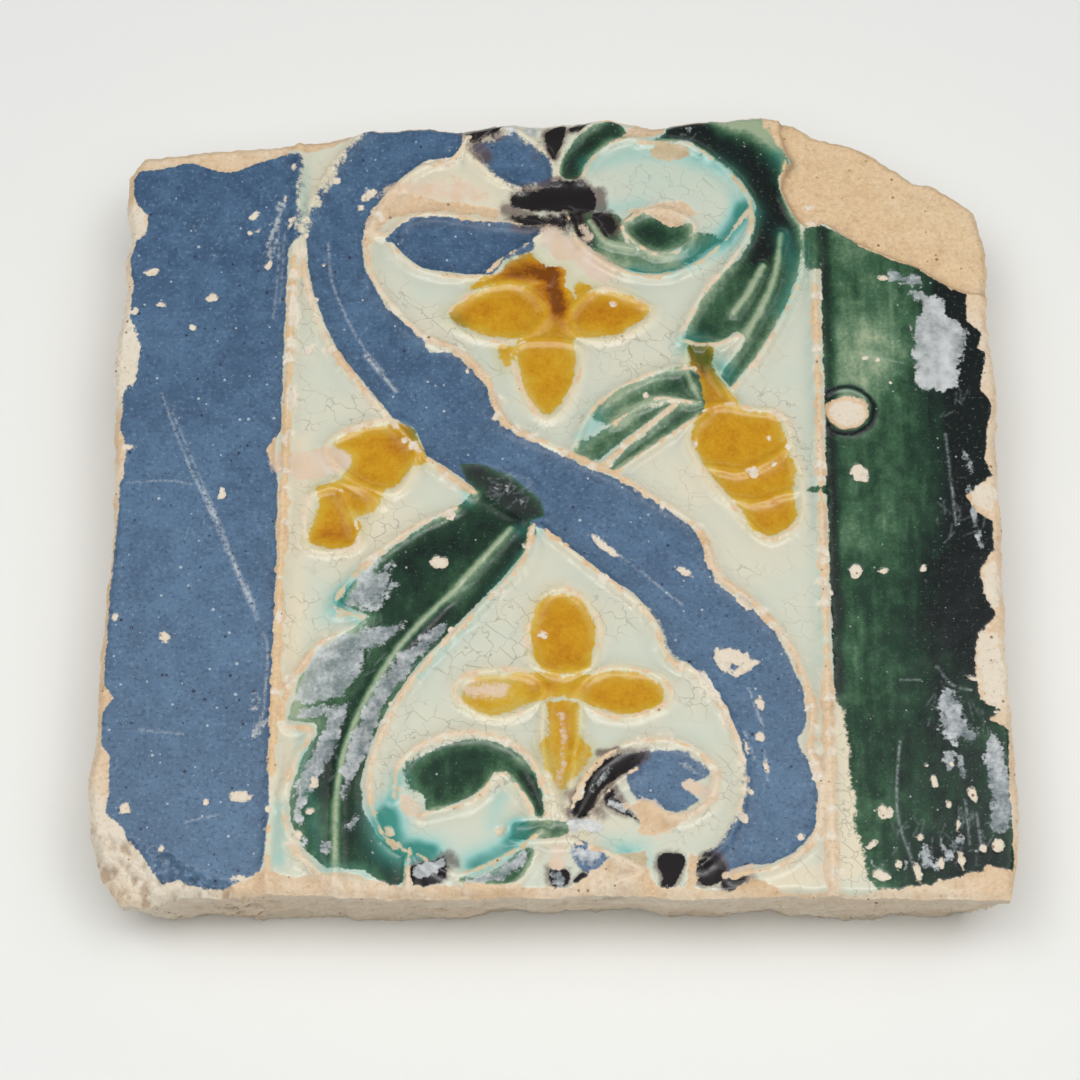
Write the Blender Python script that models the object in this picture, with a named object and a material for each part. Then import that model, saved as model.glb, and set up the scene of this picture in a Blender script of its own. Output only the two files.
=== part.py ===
"""Glazed ceramic tile with a raised-line pattern of two crossed scrolls.

The tile is one piece of fired clay. It is built as it was made: a clay blank with a
ragged rim and sides that draw in towards the underside is pressed by a stamp, and the
grooves of the stamp leave the raised lines that keep the glazes apart. The worn and
broken places are then cut away.

The frame is +Z up, with the origin under the middle of the tile, on the plane that
it lies on. +X runs to the right of the pattern and +Y to its top.
"""

import math
import random

import bmesh
import bpy
from mathutils import Matrix, Vector

MILLIMETRE = 0.001

# Sizes of the blank, in metres.
TILE_WIDTH = 0.136
TILE_DEPTH = 0.136
FIELD_HEIGHT = 0.0180  # from the underside to the sunk fields that hold the glaze
SIDE_UNDERCUT = 0.0046  # how far the underside stands in from the rim
RIM_ROUNDING = 0.0009  # how far the worn top edge stands in from the rim
RIM_HEIGHT = 0.0016  # how far below the raised lines the rim is at its widest
RIM_RAGGEDNESS = 0.00028
SIDE_ROUGHNESS = 0.00075
RIM_STEP = 0.0048  # longest straight stretch of the rim
# Levels between the underside and the rim: share of the height, share of the undercut.
SIDE_LEVELS = ((0.3, 0.6), (0.6, 0.3))

# Sizes of the raised lines, in metres.
RIDGE_WIDTH = 0.0016
RIDGE_HEIGHT = 0.0008
RIDGE_UNEVENNESS = 0.00004
RIDGE_STEPS = 3  # straight stretches between two points of a drawn line

# Sizes of the broken and worn places, in metres and degrees.
BREAK_DEPTH = 0.0011  # step down from the glaze to the bare clay of the far right corner
BREAK_SLOPE_DEG = 3.2
BREAK_LEAN_DEG = 45.0  # the way the bare clay falls, from +X towards +Y
CHIP_SLOPE_DEG = 29.0  # slope of the lost near left corner
SPOT_RADIUS = 0.0036  # round bare spot in the right band
SPOT_DEPTH = 0.0005
NICK_DEPTH = 0.0013  # depth of the nicks along the rim

CLAY_COLOUR = (0.72, 0.55, 0.38, 1.0)
GLAZE_ROUGHNESS = 0.3

# Squares of the drawing's grid from the middle of the tile to its nominal edge. The
# points of all lines below are counted in these squares, across and then up.
GRID_SQUARES = 68

SEED = 16

# The rim as it is today, worn and broken, clockwise from its far left corner.
RIM = (
    (-68.6, 56.5), (-66.5, 60.4), (-61, 61.3), (-53, 62), (-44.5, 63), (-37, 64),
    (-30, 65.8), (-22.5, 66.5), (-16.3, 65.8), (-8, 67.3), (0, 67.2), (9.5, 68),
    (15, 66.8), (23, 68), (33, 69.1), (38, 68), (41, 66), (46, 65), (50, 63),
    (57, 57.6), (60, 57.2), (64, 54), (66.5, 52), (67.7, 47), (68.1, 40), (67.3, 31),
    (68.4, 20), (67.7, 0), (67.9, -11), (67.5, -28), (68.2, -51), (67.5, -62.5),
    (66.3, -67.6), (55, -67.2), (45, -67.3), (34, -67), (20, -67.7), (14, -67.2),
    (0, -67.3), (-12, -67.6), (-25, -67.7), (-36, -67.2), (-46, -67.4), (-55, -67),
    (-60, -68), (-63.5, -67.6), (-66.4, -64), (-68.2, -57), (-69, -50.5),
    (-68.2, -43), (-68.3, -30), (-67.5, -7), (-68.4, 10), (-69.2, 24), (-67.7, 35),
    (-68.5, 41), (-67.7, 45), (-68.7, 50),
)

# Raised lines that run from one end to the other.
OPEN_LINES = {
    "left_band": ((-41.9, -80), (-41.7, 80)),
    "right_band": ((40.5, -80), (40.5, 70)),
    "blue_scroll_left": (
        (-28.6, 67.5), (-32.6, 63.2), (-36.2, 58), (-39.2, 51), (-40.6, 44.5),
        (-39.4, 36), (-36, 26), (-30.5, 17.6), (-24.8, 10.6), (-19.6, 4.4),
        (-12.6, -1.2),
    ),
    "blue_scroll_below": (
        (-2.4, -6.9), (3.6, -12.4), (9.6, -17.6), (14.4, -22.6), (17, -29.4),
        (21, -31.6), (25, -37.6), (27.6, -45), (27.8, -51), (25.4, -58.4),
        (21.4, -62.6),
    ),
    "blue_scroll_right": (
        (-14.6, 64), (-17, 59.8), (-22, 58), (-27, 52.6), (-30, 45.6), (-29.6, 38.8),
        (-26.6, 33), (-21.4, 27), (-15.4, 24), (-10.9, 18.6), (-8, 11.2), (0.4, 6.6),
        (8.4, 2.4), (14.4, -1.6), (21.6, -7.2), (24.4, -15), (30, -20), (35.4, -27.6),
        (38, -37), (37.6, -44), (39.2, -50), (38, -58), (33, -62.6), (26, -64.4),
    ),
    "upper_curl_outer": ((-13.6, 62), (-9, 66), (-4.4, 63.6), (-1.4, 60), (-0.6, 56)),
    "upper_curl_inner": ((-14.6, 61), (-10.8, 57), (-5.8, 54.2)),
    "blue_leaf_link": ((-30.4, 46), (-25.8, 44.8)),
    "green_leaf_left": ((-0.2, 56), (1, 62), (5, 66.6), (10, 69.5)),
    "green_leaf_right": ((3.6, 56), (6.2, 61), (10.6, 63.8), (14.4, 63.4)),
    "green_scroll_inner": (
        (13, 63.2), (20.4, 63), (26, 58.8), (30, 53.4), (30.6, 47), (27.4, 40.8),
        (23, 35), (20.6, 30), (19.4, 26.4), (24.4, 25.4), (28.4, 27),
    ),
    "green_scroll_outer": (
        (36.4, 60), (36.2, 53), (38.8, 47), (38.9, 41), (36.4, 33), (32.2, 24.4),
        (27.2, 17.4),
    ),
    "green_scroll_vein": ((35.4, 46), (34.2, 38), (31.2, 30.6), (25.6, 20.6)),
    "green_scroll_fold": ((32.4, 40), (30, 35), (27.6, 31.4)),
    "green_curl_outer": (
        (1.4, 49.6), (3.4, 44), (8.4, 39.6), (15, 37.8), (21, 39.6), (26, 44),
        (30.2, 50),
    ),
    "green_curl_inner": ((5.2, 48), (7.6, 44.4), (12, 43.2)),
    "left_bud_lower_seam": ((-34.2, 0.8), (-29.6, -0.4), (-26.4, -3.2)),
    "right_stem_left": ((20.4, 26), (20.2, 21), (22.4, 15)),
    "right_stem_right": ((24, 25), (24.4, 21), (27.6, 15)),
    "right_bud_upper_seam": ((23.4, 3.6), (28, 2.8), (32.4, 4.6), (35.4, 7)),
    "right_bud_lower_seam": ((26.6, -2), (30.4, -2.6), (34, -1.2), (36.8, -0.6)),
    "right_leaf_top": ((21.2, 21.2), (15.4, 20.4), (9.4, 17.2), (5, 12.8), (2.2, 5.6)),
    "right_leaf_rib": ((8.8, 11.2), (15, 15.4), (22.2, 14.8)),
    "right_leaf_vein": ((7.4, 4), (12, 8.8), (18.5, 14.7)),
    "right_leaf_foot": ((9.2, 2.6), (15, 7.2), (22.6, 12.8)),
    "left_leaf_outer": (
        (-15.4, -4), (-22.4, -7.8), (-29.8, -14.6), (-33.4, -21), (-29, -23),
        (-35.4, -27.2), (-39.6, -34), (-40.4, -40.4), (-36.4, -41.4), (-38.6, -47),
        (-40, -54), (-37.6, -61), (-33.6, -65),
    ),
    "left_leaf_inner": (
        (-3.4, -6.6), (-5.4, -13.4), (-11.4, -21), (-19.4, -30), (-24.6, -39),
        (-27.4, -49), (-25.6, -57.4), (-21.4, -61),
    ),
    "left_leaf_rib": (
        (-7, -7.4), (-15, -17.4), (-23.4, -27.4), (-29.4, -39), (-32, -50), (-32, -66),
    ),
    "left_foot_stroke": ((-21.3, -60.4), (-21.4, -70)),
    "left_curl_outer": (
        (-23.8, -52), (-22.6, -46.2), (-17, -42.4), (-10.4, -41.8), (-4.2, -45.2),
        (-1.2, -52), (-1, -55),
    ),
    "left_curl_inner": ((-19.4, -55), (-12, -52.6), (-8, -48.4), (-4.6, -52), (-3, -55.6)),
    "left_curl_below": ((-20, -61.4), (-14, -64.4), (-6.4, -61), (-2, -57.6)),
    "lower_bar": ((-1, -55.6), (-6.2, -56), (-6, -59.2), (2, -59)),
    "lower_leaf": ((-13.6, -65.8), (-6, -66.2), (-2.6, -61)),
    "lower_stem_left": ((-1.8, -37), (-1.8, -44), (0.4, -55)),
    "lower_stem_right": ((3.6, -37), (3, -44), (1.6, -55)),
    "right_curl_outer": (
        (2.4, -54), (5.4, -47.4), (11.4, -43.2), (18.4, -43.2), (23.4, -47.4),
        (22.6, -52.6), (18, -55.2), (13, -53),
    ),
    "right_curl_inner": ((4.6, -55.4), (8.2, -50.4), (12, -47.4)),
    "lower_scroll_end": ((2.2, -59), (7, -60.6), (12.4, -63.6), (9, -65.6)),
}

# Raised lines that close on themselves.
CLOSED_LINES = {
    "dark_bar": (
        (-8.2, 53.2), (-6, 55.8), (0.4, 55.5), (6.4, 55.9), (8.2, 52.8), (6.2, 50),
        (-0.4, 49.8), (-6.2, 50.1),
    ),
    "blue_leaf": (
        (-26.4, 44.4), (-22, 49.2), (-12.4, 48.2), (-2.6, 46.4), (-8.8, 41),
        (-12.8, 37.8), (-21.4, 38.8),
    ),
    "green_bulb": ((10.2, 47), (15, 50.4), (21.2, 48.2), (20.6, 43.4), (15, 42.2)),
    "upper_petal_left": (
        (-17.4, 30.4), (-12.4, 35.4), (-6, 36.4), (-1.8, 31), (-6, 26.2), (-12.6, 26.6),
    ),
    "upper_petal_right": ((1.8, 31), (7, 35.8), (15, 31.6), (9.4, 26.6), (3.4, 27)),
    "upper_petal_below": ((-6.8, 25), (-4.8, 16), (-1.6, 12), (1.8, 15.4), (3.4, 25)),
    "upper_sepals": (
        (-14.4, 36.6), (-9, 40.4), (-4.4, 43.4), (-1, 40.8), (-2, 36.4), (-8, 37),
    ),
    "upper_style": ((-2.2, 37), (-0.4, 40.4), (1.4, 37), (0, 31)),
    "left_bud_top": (
        (-35.6, 7), (-29.4, 11), (-22.6, 10.8), (-21.8, 4), (-25, -1.2), (-32, 1.6),
    ),
    "left_bud_foot": (
        (-37.6, -1.6), (-33.4, -0.4), (-30.6, -6.4), (-30.6, -10.6), (-37, -11),
        (-38.4, -6),
    ),
    "right_bud": (
        (20.2, 9), (24, 14.4), (30, 14), (35.2, 12.4), (36.2, 6.6), (37.6, 1.6), (37.2, -5.4),
        (32.4, -8.9), (28, -4.4), (23.4, 1.6),
    ),
    "crossing": ((-16, 3.4), (-10, 4.4), (-3.4, 0.4), (-1, -5), (-6, -5.4), (-13, -0.6)),
    "lower_petal_top": (
        (-4.2, -25), (-1.6, -18.4), (2.6, -18), (6.4, -23.4), (5, -30.6), (-2.4, -31),
    ),
    "lower_petal_left": (
        (-2, -33.4), (-6, -31.2), (-13.2, -32), (-15, -35.6), (-9, -39.2), (-3, -37),
    ),
    "lower_petal_right": (
        (3.8, -33.4), (8.4, -30.7), (15.6, -32.2), (16.6, -36.2), (10, -39), (4, -36.8),
    ),
}

# Edge of the glaze where the far right corner has broken off, from its top to its
# right end, then round outside the tile.
BREAK_LINE = (
    (36.4, 64), (35.6, 57), (37, 51), (40, 47.6), (43, 48), (48, 44.6), (55, 41.4),
    (60, 38), (64.6, 35.2), (75, 36), (75, 76), (38, 76),
)

# Line along which the lost near left corner starts to slope, from right to left.
CHIP_START = (-43, -66.4)
CHIP_END = (-67.6, -54.4)

SPOT_PLACE = (44.9, 13.9)

# Nicks along the rim: place, half length and half width in squares of the grid.
NICKS = {
    "left_high": (-68.6, 48.2, 2.8, 3.4),
    "left_middle": (-69.2, 23, 2.8, 6.2),
    "left_low": (-69, -49, 2.6, 5),
    "right_middle": (68.6, -4, 3.6, 3.4),
    "right_low": (68.4, -30, 5, 9),
    "near_right": (65.4, -67.6, 6, 5),
    "near_middle": (55.8, -68.2, 7, 3.2),
    "far_middle": (14, 67.6, 4, 2.6),
}


def on_tile(point):
    """Place in metres of a point of the drawing."""
    across, up = point
    return Vector((
        across / GRID_SQUARES * TILE_WIDTH / 2,
        up / GRID_SQUARES * TILE_DEPTH / 2,
        0,
    ))


def collection_named(name, hidden=False):
    """New collection in the scene; a hidden one holds the cutters."""
    made = bpy.data.collections.new(name)
    bpy.context.scene.collection.children.link(made)
    made.hide_render = hidden
    return made


def object_from_bmesh(name, bm, collection):
    """Object with the mesh that the bmesh holds."""
    bmesh.ops.recalc_face_normals(bm, faces=bm.faces)
    mesh = bpy.data.meshes.new(name)
    bm.to_mesh(mesh)
    bm.free()
    obj = bpy.data.objects.new(name, mesh)
    collection.objects.link(obj)
    return obj


def make_cutter(obj):
    """Show the object as a guide that cuts and isn't rendered."""
    obj.hide_render = True
    obj.display_type = "WIRE"


def object_from_curve(curve_object, collection):
    """Mesh object of a curve, with its caps welded on; the curve goes away."""
    bpy.context.view_layer.update()
    graph = bpy.context.evaluated_depsgraph_get()
    name = curve_object.name
    mesh = bpy.data.meshes.new_from_object(curve_object.evaluated_get(graph))
    place = curve_object.matrix_world.copy()
    bpy.data.objects.remove(curve_object)
    bm = bmesh.new()
    bm.from_mesh(mesh)
    bpy.data.meshes.remove(mesh)
    bmesh.ops.remove_doubles(bm, verts=bm.verts, dist=0.01 * MILLIMETRE)
    obj = object_from_bmesh(name, bm, collection)
    obj.matrix_world = place
    return obj


def rim_points():
    """Rim with every long stretch divided and its points set in or out at random."""
    shake = random.Random(SEED)
    corners = [on_tile(corner) for corner in RIM]
    points = []
    for start, end in zip(corners, corners[1:] + corners[:1]):
        parts = max(1, math.ceil((end - start).length / RIM_STEP))
        outward = Vector((start.y - end.y, end.x - start.x, 0)).normalized()
        for part in range(parts):
            offset = shake.uniform(-1, 1) * RIM_RAGGEDNESS if part else 0
            points.append(start.lerp(end, part / parts) + outward * offset)
    return points


def ring_at(outline, height, distance, roughness, shake):
    """Outline drawn in by the distance, give or take the roughness, at the height."""
    ring = []
    for point in outline:
        shift = distance + shake.uniform(-1, 1) * roughness
        ring.append(Vector((
            point.x * (1 - shift / (TILE_WIDTH / 2)),
            point.y * (1 - shift / (TILE_DEPTH / 2)),
            height,
        )))
    return ring


def add_blank(collection):
    """Clay blank: a loft of ragged outlines from the smaller underside to the rim."""
    shake = random.Random(SEED + 1)
    outline = rim_points()
    top = FIELD_HEIGHT + RIDGE_HEIGHT
    rings = [ring_at(outline, 0, SIDE_UNDERCUT, SIDE_ROUGHNESS, shake)]
    for up, inwards in SIDE_LEVELS:
        rings.append(ring_at(
            outline, up * FIELD_HEIGHT, inwards * SIDE_UNDERCUT, SIDE_ROUGHNESS, shake
        ))
    rings.append(ring_at(outline, top - RIM_HEIGHT, 0, 0, shake))
    rings.append(ring_at(outline, top, RIM_ROUNDING, 0, shake))
    bm = bmesh.new()
    levels = [[bm.verts.new(point) for point in ring] for ring in rings]
    for lower, upper in zip(levels, levels[1:]):
        for here in range(len(outline)):
            there = (here + 1) % len(outline)
            bm.faces.new((lower[here], lower[there], upper[there], upper[here]))
    bm.faces.new(levels[0])
    bm.faces.new(levels[-1])
    return object_from_bmesh("glazed_tile", bm, collection)


def add_ridge(name, points, closed, height, collection):
    """Groove of the stamp for one raised line: a tube along the drawn line."""
    radius = (height**2 + (RIDGE_WIDTH / 2) ** 2) / (2 * height)
    curve = bpy.data.curves.new(name, "CURVE")
    curve.dimensions = "3D"
    curve.twist_mode = "Z_UP"
    curve.bevel_depth = radius
    curve.bevel_resolution = 1
    curve.use_fill_caps = not closed
    curve.resolution_u = RIDGE_STEPS
    spline = curve.splines.new("BEZIER")
    spline.bezier_points.add(len(points) - 1)
    spline.use_cyclic_u = closed
    for knot, point in zip(spline.bezier_points, points):
        knot.co = on_tile(point)
        knot.co.z = FIELD_HEIGHT + height - radius
        knot.handle_left_type = knot.handle_right_type = "AUTO"
    line = bpy.data.objects.new(name, curve)
    collection.objects.link(line)
    make_cutter(object_from_curve(line, collection))


def add_stamp(collection, grooves):
    """Block that presses the fields down, with a groove for each raised line."""
    shake = random.Random(SEED + 2)
    for lines, closed in ((OPEN_LINES, False), (CLOSED_LINES, True)):
        for name, points in lines.items():
            height = RIDGE_HEIGHT + shake.uniform(-1, 0) * RIDGE_UNEVENNESS
            add_ridge(name, points, closed, height, grooves)
    bm = bmesh.new()
    bmesh.ops.create_cube(bm, size=1)
    size = Vector((1.5 * TILE_WIDTH, 1.5 * TILE_DEPTH, 5 * RIDGE_HEIGHT))
    bmesh.ops.scale(bm, verts=bm.verts, vec=size)
    bmesh.ops.translate(bm, verts=bm.verts, vec=(0, 0, FIELD_HEIGHT + size.z / 2))
    stamp = object_from_bmesh("stamp", bm, collection)
    make_cutter(stamp)
    cut = stamp.modifiers.new("grooves", "BOOLEAN")
    cut.operation = "DIFFERENCE"
    cut.solver = "EXACT"
    cut.operand_type = "COLLECTION"
    cut.collection = grooves
    return stamp


def add_break(collection):
    """Slab of clay lost at the far right corner, with a floor that falls away."""
    height = 10 * BREAK_DEPTH
    curve = bpy.data.curves.new("far_right_break", "CURVE")
    curve.dimensions = "2D"
    curve.fill_mode = "BOTH"
    curve.extrude = height / 2
    spline = curve.splines.new("POLY")
    spline.points.add(len(BREAK_LINE) - 1)
    spline.use_cyclic_u = True
    hinge = on_tile(BREAK_LINE[3])
    for knot, point in zip(spline.points, BREAK_LINE):
        knot.co = (*(on_tile(point) - hinge), 1)
    block = bpy.data.objects.new("far_right_break", curve)
    collection.objects.link(block)
    lean = math.radians(BREAK_LEAN_DEG)
    axis = Vector((-math.sin(lean), math.cos(lean), 0))
    block.matrix_world = (
        Matrix.Translation(hinge + Vector((0, 0, FIELD_HEIGHT - BREAK_DEPTH)))
        @ Matrix.Rotation(math.radians(BREAK_SLOPE_DEG), 4, axis)
        @ Matrix.Translation((0, 0, height / 2))
    )
    make_cutter(object_from_curve(block, collection))


def add_chip(collection):
    """Wedge lost at the near left corner, below a plane that slopes from the glaze."""
    start = on_tile(CHIP_START)
    end = on_tile(CHIP_END)
    along = (end - start).normalized()
    outward = Vector((-along.y, along.x, 0))
    reach = TILE_WIDTH / 2
    bm = bmesh.new()
    bmesh.ops.create_cube(bm, size=reach)
    bmesh.ops.translate(bm, verts=bm.verts, vec=(0, reach / 2, reach / 2))
    wedge = object_from_bmesh("near_left_chip", bm, collection)
    turn = Matrix((along, outward, Vector((0, 0, 1)))).transposed().to_4x4()
    wedge.matrix_world = (
        Matrix.Translation((start + end) / 2 + Vector((0, 0, FIELD_HEIGHT)))
        @ turn
        @ Matrix.Rotation(-math.radians(CHIP_SLOPE_DEG), 4, "X")
    )
    make_cutter(wedge)


def add_nick(name, across, up, half_across, half_up, collection):
    """Shallow bite out of the rim: a flattened sphere that dips below the fields."""
    bm = bmesh.new()
    bmesh.ops.create_uvsphere(bm, u_segments=14, v_segments=8, radius=1)
    centre = on_tile((across, up))
    size = on_tile((half_across, half_up))
    size.z = 2 * NICK_DEPTH
    centre.z = FIELD_HEIGHT + NICK_DEPTH
    bmesh.ops.scale(bm, verts=bm.verts, vec=size)
    bmesh.ops.translate(bm, verts=bm.verts, vec=centre)
    make_cutter(object_from_bmesh(name, bm, collection))


def add_spot(collection):
    """Round bare spot in the right band, a shallow dish where the glaze drew back."""
    bm = bmesh.new()
    bmesh.ops.create_cone(
        bm, cap_ends=True, segments=18, radius1=0.8 * SPOT_RADIUS, radius2=1.2 * SPOT_RADIUS,
        depth=2 * SPOT_DEPTH,
    )
    spot = object_from_bmesh("bare_spot", bm, collection)
    spot.location = on_tile(SPOT_PLACE)
    spot.location.z = FIELD_HEIGHT
    make_cutter(spot)


def add_material(obj):
    """Fired clay under a glossy glaze."""
    material = bpy.data.materials.new("glazed_clay")
    material.use_nodes = True
    shader = material.node_tree.nodes["Principled BSDF"]
    shader.inputs["Base Color"].default_value = CLAY_COLOUR
    shader.inputs["Roughness"].default_value = GLAZE_ROUGHNESS
    shader.inputs["Metallic"].default_value = 0.0
    obj.data.materials.append(material)


def finish_tile(tile, helpers):
    """Fix the cuts into the tile's mesh and bring the middle of its box over the origin."""
    bpy.context.view_layer.update()
    graph = bpy.context.evaluated_depsgraph_get()
    cut_mesh = bpy.data.meshes.new_from_object(tile.evaluated_get(graph))
    tile.modifiers.clear()
    tile.data = cut_mesh
    lowest = [min(vert.co[axis] for vert in cut_mesh.vertices) for axis in range(3)]
    highest = [max(vert.co[axis] for vert in cut_mesh.vertices) for axis in range(2)]
    origin = bpy.data.objects.new("tile_origin", None)
    origin.location = (
        -(lowest[0] + highest[0]) / 2,
        -(lowest[1] + highest[1]) / 2,
        -lowest[2],
    )
    bpy.context.scene.collection.objects.link(origin)
    for obj in (tile, *helpers):
        obj.parent = origin


def main():
    for obj in list(bpy.data.objects):
        bpy.data.objects.remove(obj)
    tile_parts = collection_named("glazed_ceramic_tile")
    cutters = collection_named("cutters", hidden=True)
    grooves = collection_named("stamp_grooves", hidden=True)
    losses = collection_named("losses", hidden=True)

    tile = add_blank(tile_parts)
    press = tile.modifiers.new("stamp", "BOOLEAN")
    press.operation = "DIFFERENCE"
    press.solver = "EXACT"
    press.object = add_stamp(cutters, grooves)

    add_break(losses)
    add_chip(losses)
    add_spot(losses)
    for name, (across, up, half_across, half_up) in NICKS.items():
        add_nick(name, across, up, half_across, half_up, losses)
    lose = tile.modifiers.new("losses", "BOOLEAN")
    lose.operation = "DIFFERENCE"
    lose.solver = "EXACT"
    lose.operand_type = "COLLECTION"
    lose.collection = losses
    add_material(tile)
    helpers = [obj for group in (cutters, grooves, losses) for obj in group.objects]
    finish_tile(tile, helpers)


if __name__ == "__main__":
    main()
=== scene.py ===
"""Looks of the glazed ceramic tile: pressed relief, glazes, worn clay and the studio.

The tile's face is worked out as fields over a drawing plane ruled in millimetres, +X to
the right of the pattern and +Y to its top. Each raised line and each patch of glaze is a
drawn outline, and the fields hold how far a place lies from it. The face, the broken
sides and the underside are then carried as whole arrays into meshes.
"""

import logging
import math
from dataclasses import dataclass, field
from enum import Enum

import bpy
import numpy as np
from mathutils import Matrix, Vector


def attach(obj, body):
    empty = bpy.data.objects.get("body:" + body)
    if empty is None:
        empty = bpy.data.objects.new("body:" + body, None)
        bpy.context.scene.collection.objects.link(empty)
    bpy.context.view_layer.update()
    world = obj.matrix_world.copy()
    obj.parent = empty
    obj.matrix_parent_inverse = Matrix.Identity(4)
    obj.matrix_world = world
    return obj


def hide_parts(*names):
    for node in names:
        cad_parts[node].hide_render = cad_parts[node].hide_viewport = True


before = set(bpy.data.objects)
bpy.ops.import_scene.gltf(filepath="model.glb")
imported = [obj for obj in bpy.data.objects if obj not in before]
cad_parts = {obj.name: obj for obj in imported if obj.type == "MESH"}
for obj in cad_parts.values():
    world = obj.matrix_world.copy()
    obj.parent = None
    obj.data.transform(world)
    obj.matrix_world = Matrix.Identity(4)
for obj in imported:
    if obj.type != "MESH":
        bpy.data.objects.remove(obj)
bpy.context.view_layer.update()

LOG = logging.getLogger("tile")
MM = 0.001
NODE = "glazed_tile"
SHIFT_MM = (0.3631, -0.7)  # from the drawing's middle to the middle of the tile's box
ABSENT = -3.0  # depth within a glaze, in millimetres, where there is none of it

Points = tuple[tuple[float, float], ...]
Rows = tuple[tuple[float, ...], ...]


class Glaze(Enum):
    """Kinds of surface that a patch of the face can have.

    The glare-and-scuff kind is painted reflection: grey glare laid on the green and black glazes, with some
    real grey scuffs among it.
    """

    BLUE = "blue"
    GREEN = "green"
    AMBER = "amber"
    BLACK = "black"
    BARE = "bare"
    GLARE_AND_SCUFF = "glare_and_scuff"


class Outline(Enum):
    """Ways that the outline of a patch runs between its places."""

    ROUNDED = "rounded"
    ANGULAR = "angular"


@dataclass(frozen=True)
class Line:
    """A raised line of the pattern.

    Attributes:
        points: places that the line passes through, in millimetres.
        closed: whether it runs back to its start.
        bare: half width of the clay that shows along its crest, in millimetres.
        height: how far its crest stands above the fields, in millimetres.
    """

    points: Points
    closed: bool = False
    bare: float = 0.5
    height: float = 0.62


@dataclass(frozen=True)
class Patch:
    """A patch of one glaze, or of bare clay.

    Attributes:
        glaze: what the surface is.
        points: its outline in millimetres.
        soft: how much wider than usual its edge fades, as a factor.
        outline: how the outline runs between its points.
    """

    glaze: Glaze
    points: Points
    soft: float
    outline: Outline


@dataclass(frozen=True)
class Wash:
    """A soft stroke that thickens, thins or tints the glaze along a path.

    Attributes:
        points: the path in millimetres.
        radius: distance at which the stroke has faded to a third, in millimetres.
        strength: what it adds at the middle of the stroke.
    """

    points: Points
    radius: float
    strength: float


def pairs(*numbers: float) -> Points:
    """Pair off a row of numbers, x and y in turn, into places."""
    return tuple(zip(numbers[::2], numbers[1::2]))


def patches(glaze: Glaze, outline: Outline, rows: Rows) -> tuple[Patch, ...]:
    """Make patches of one glaze.

    Args:
        glaze: what the surface is.
        outline: how the outlines run between their places.
        rows: for each patch, how soft its edge is, then x and y of each place.

    Returns:
        The patches.
    """
    return tuple(Patch(glaze, pairs(*places), soft, outline) for soft, *places in rows)


def washes(*rows: tuple[float, ...]) -> tuple[Wash, ...]:
    """Make soft strokes.

    Args:
        *rows: for each stroke, its radius and strength, then x and y of each place.

    Returns:
        The strokes.
    """
    return tuple(Wash(pairs(*places), radius, strength) for radius, strength, *places in rows)


RIM: Points = pairs(
    -68.6, 56.5, -66.5, 60.4, -61, 61.3, -53, 62, -44.5, 63, -37, 64, -30, 65.8,
    -22.5, 66.5, -16.3, 65.8, -8, 67.3, 0, 67.2, 9.5, 68, 15, 66.8, 23, 68, 33, 69.1, 38, 68, 41, 66,
    46, 65, 50, 63, 57, 57.6, 60, 57.2, 64, 54, 66.5, 52, 67.7, 47, 68.1, 40, 67.3, 31, 68.4, 20, 67.7, 0,
    67.9, -11, 67.5, -28, 68.2, -51, 67.5, -62.5, 66.3, -67.6, 55, -67.2, 45, -67.3, 34, -67, 20, -67.7,
    14, -67.2, 0, -67.3, -12, -67.6, -25, -67.7, -36, -67.2, -46, -67.4, -55, -67, -60, -68, -63.5, -67.6,
    -66.4, -64, -68.2, -57, -69, -50.5, -68.2, -43, -68.3, -30, -67.5, -7, -68.4, 10, -69.2, 24, -67.7, 35,
    -68.5, 41, -67.7, 45, -68.7, 50
)
# Corners of the rim, as places in its list: near left, near right, far right, far left.
RIM_CORNERS = (45, 32, 22, 1)

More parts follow.
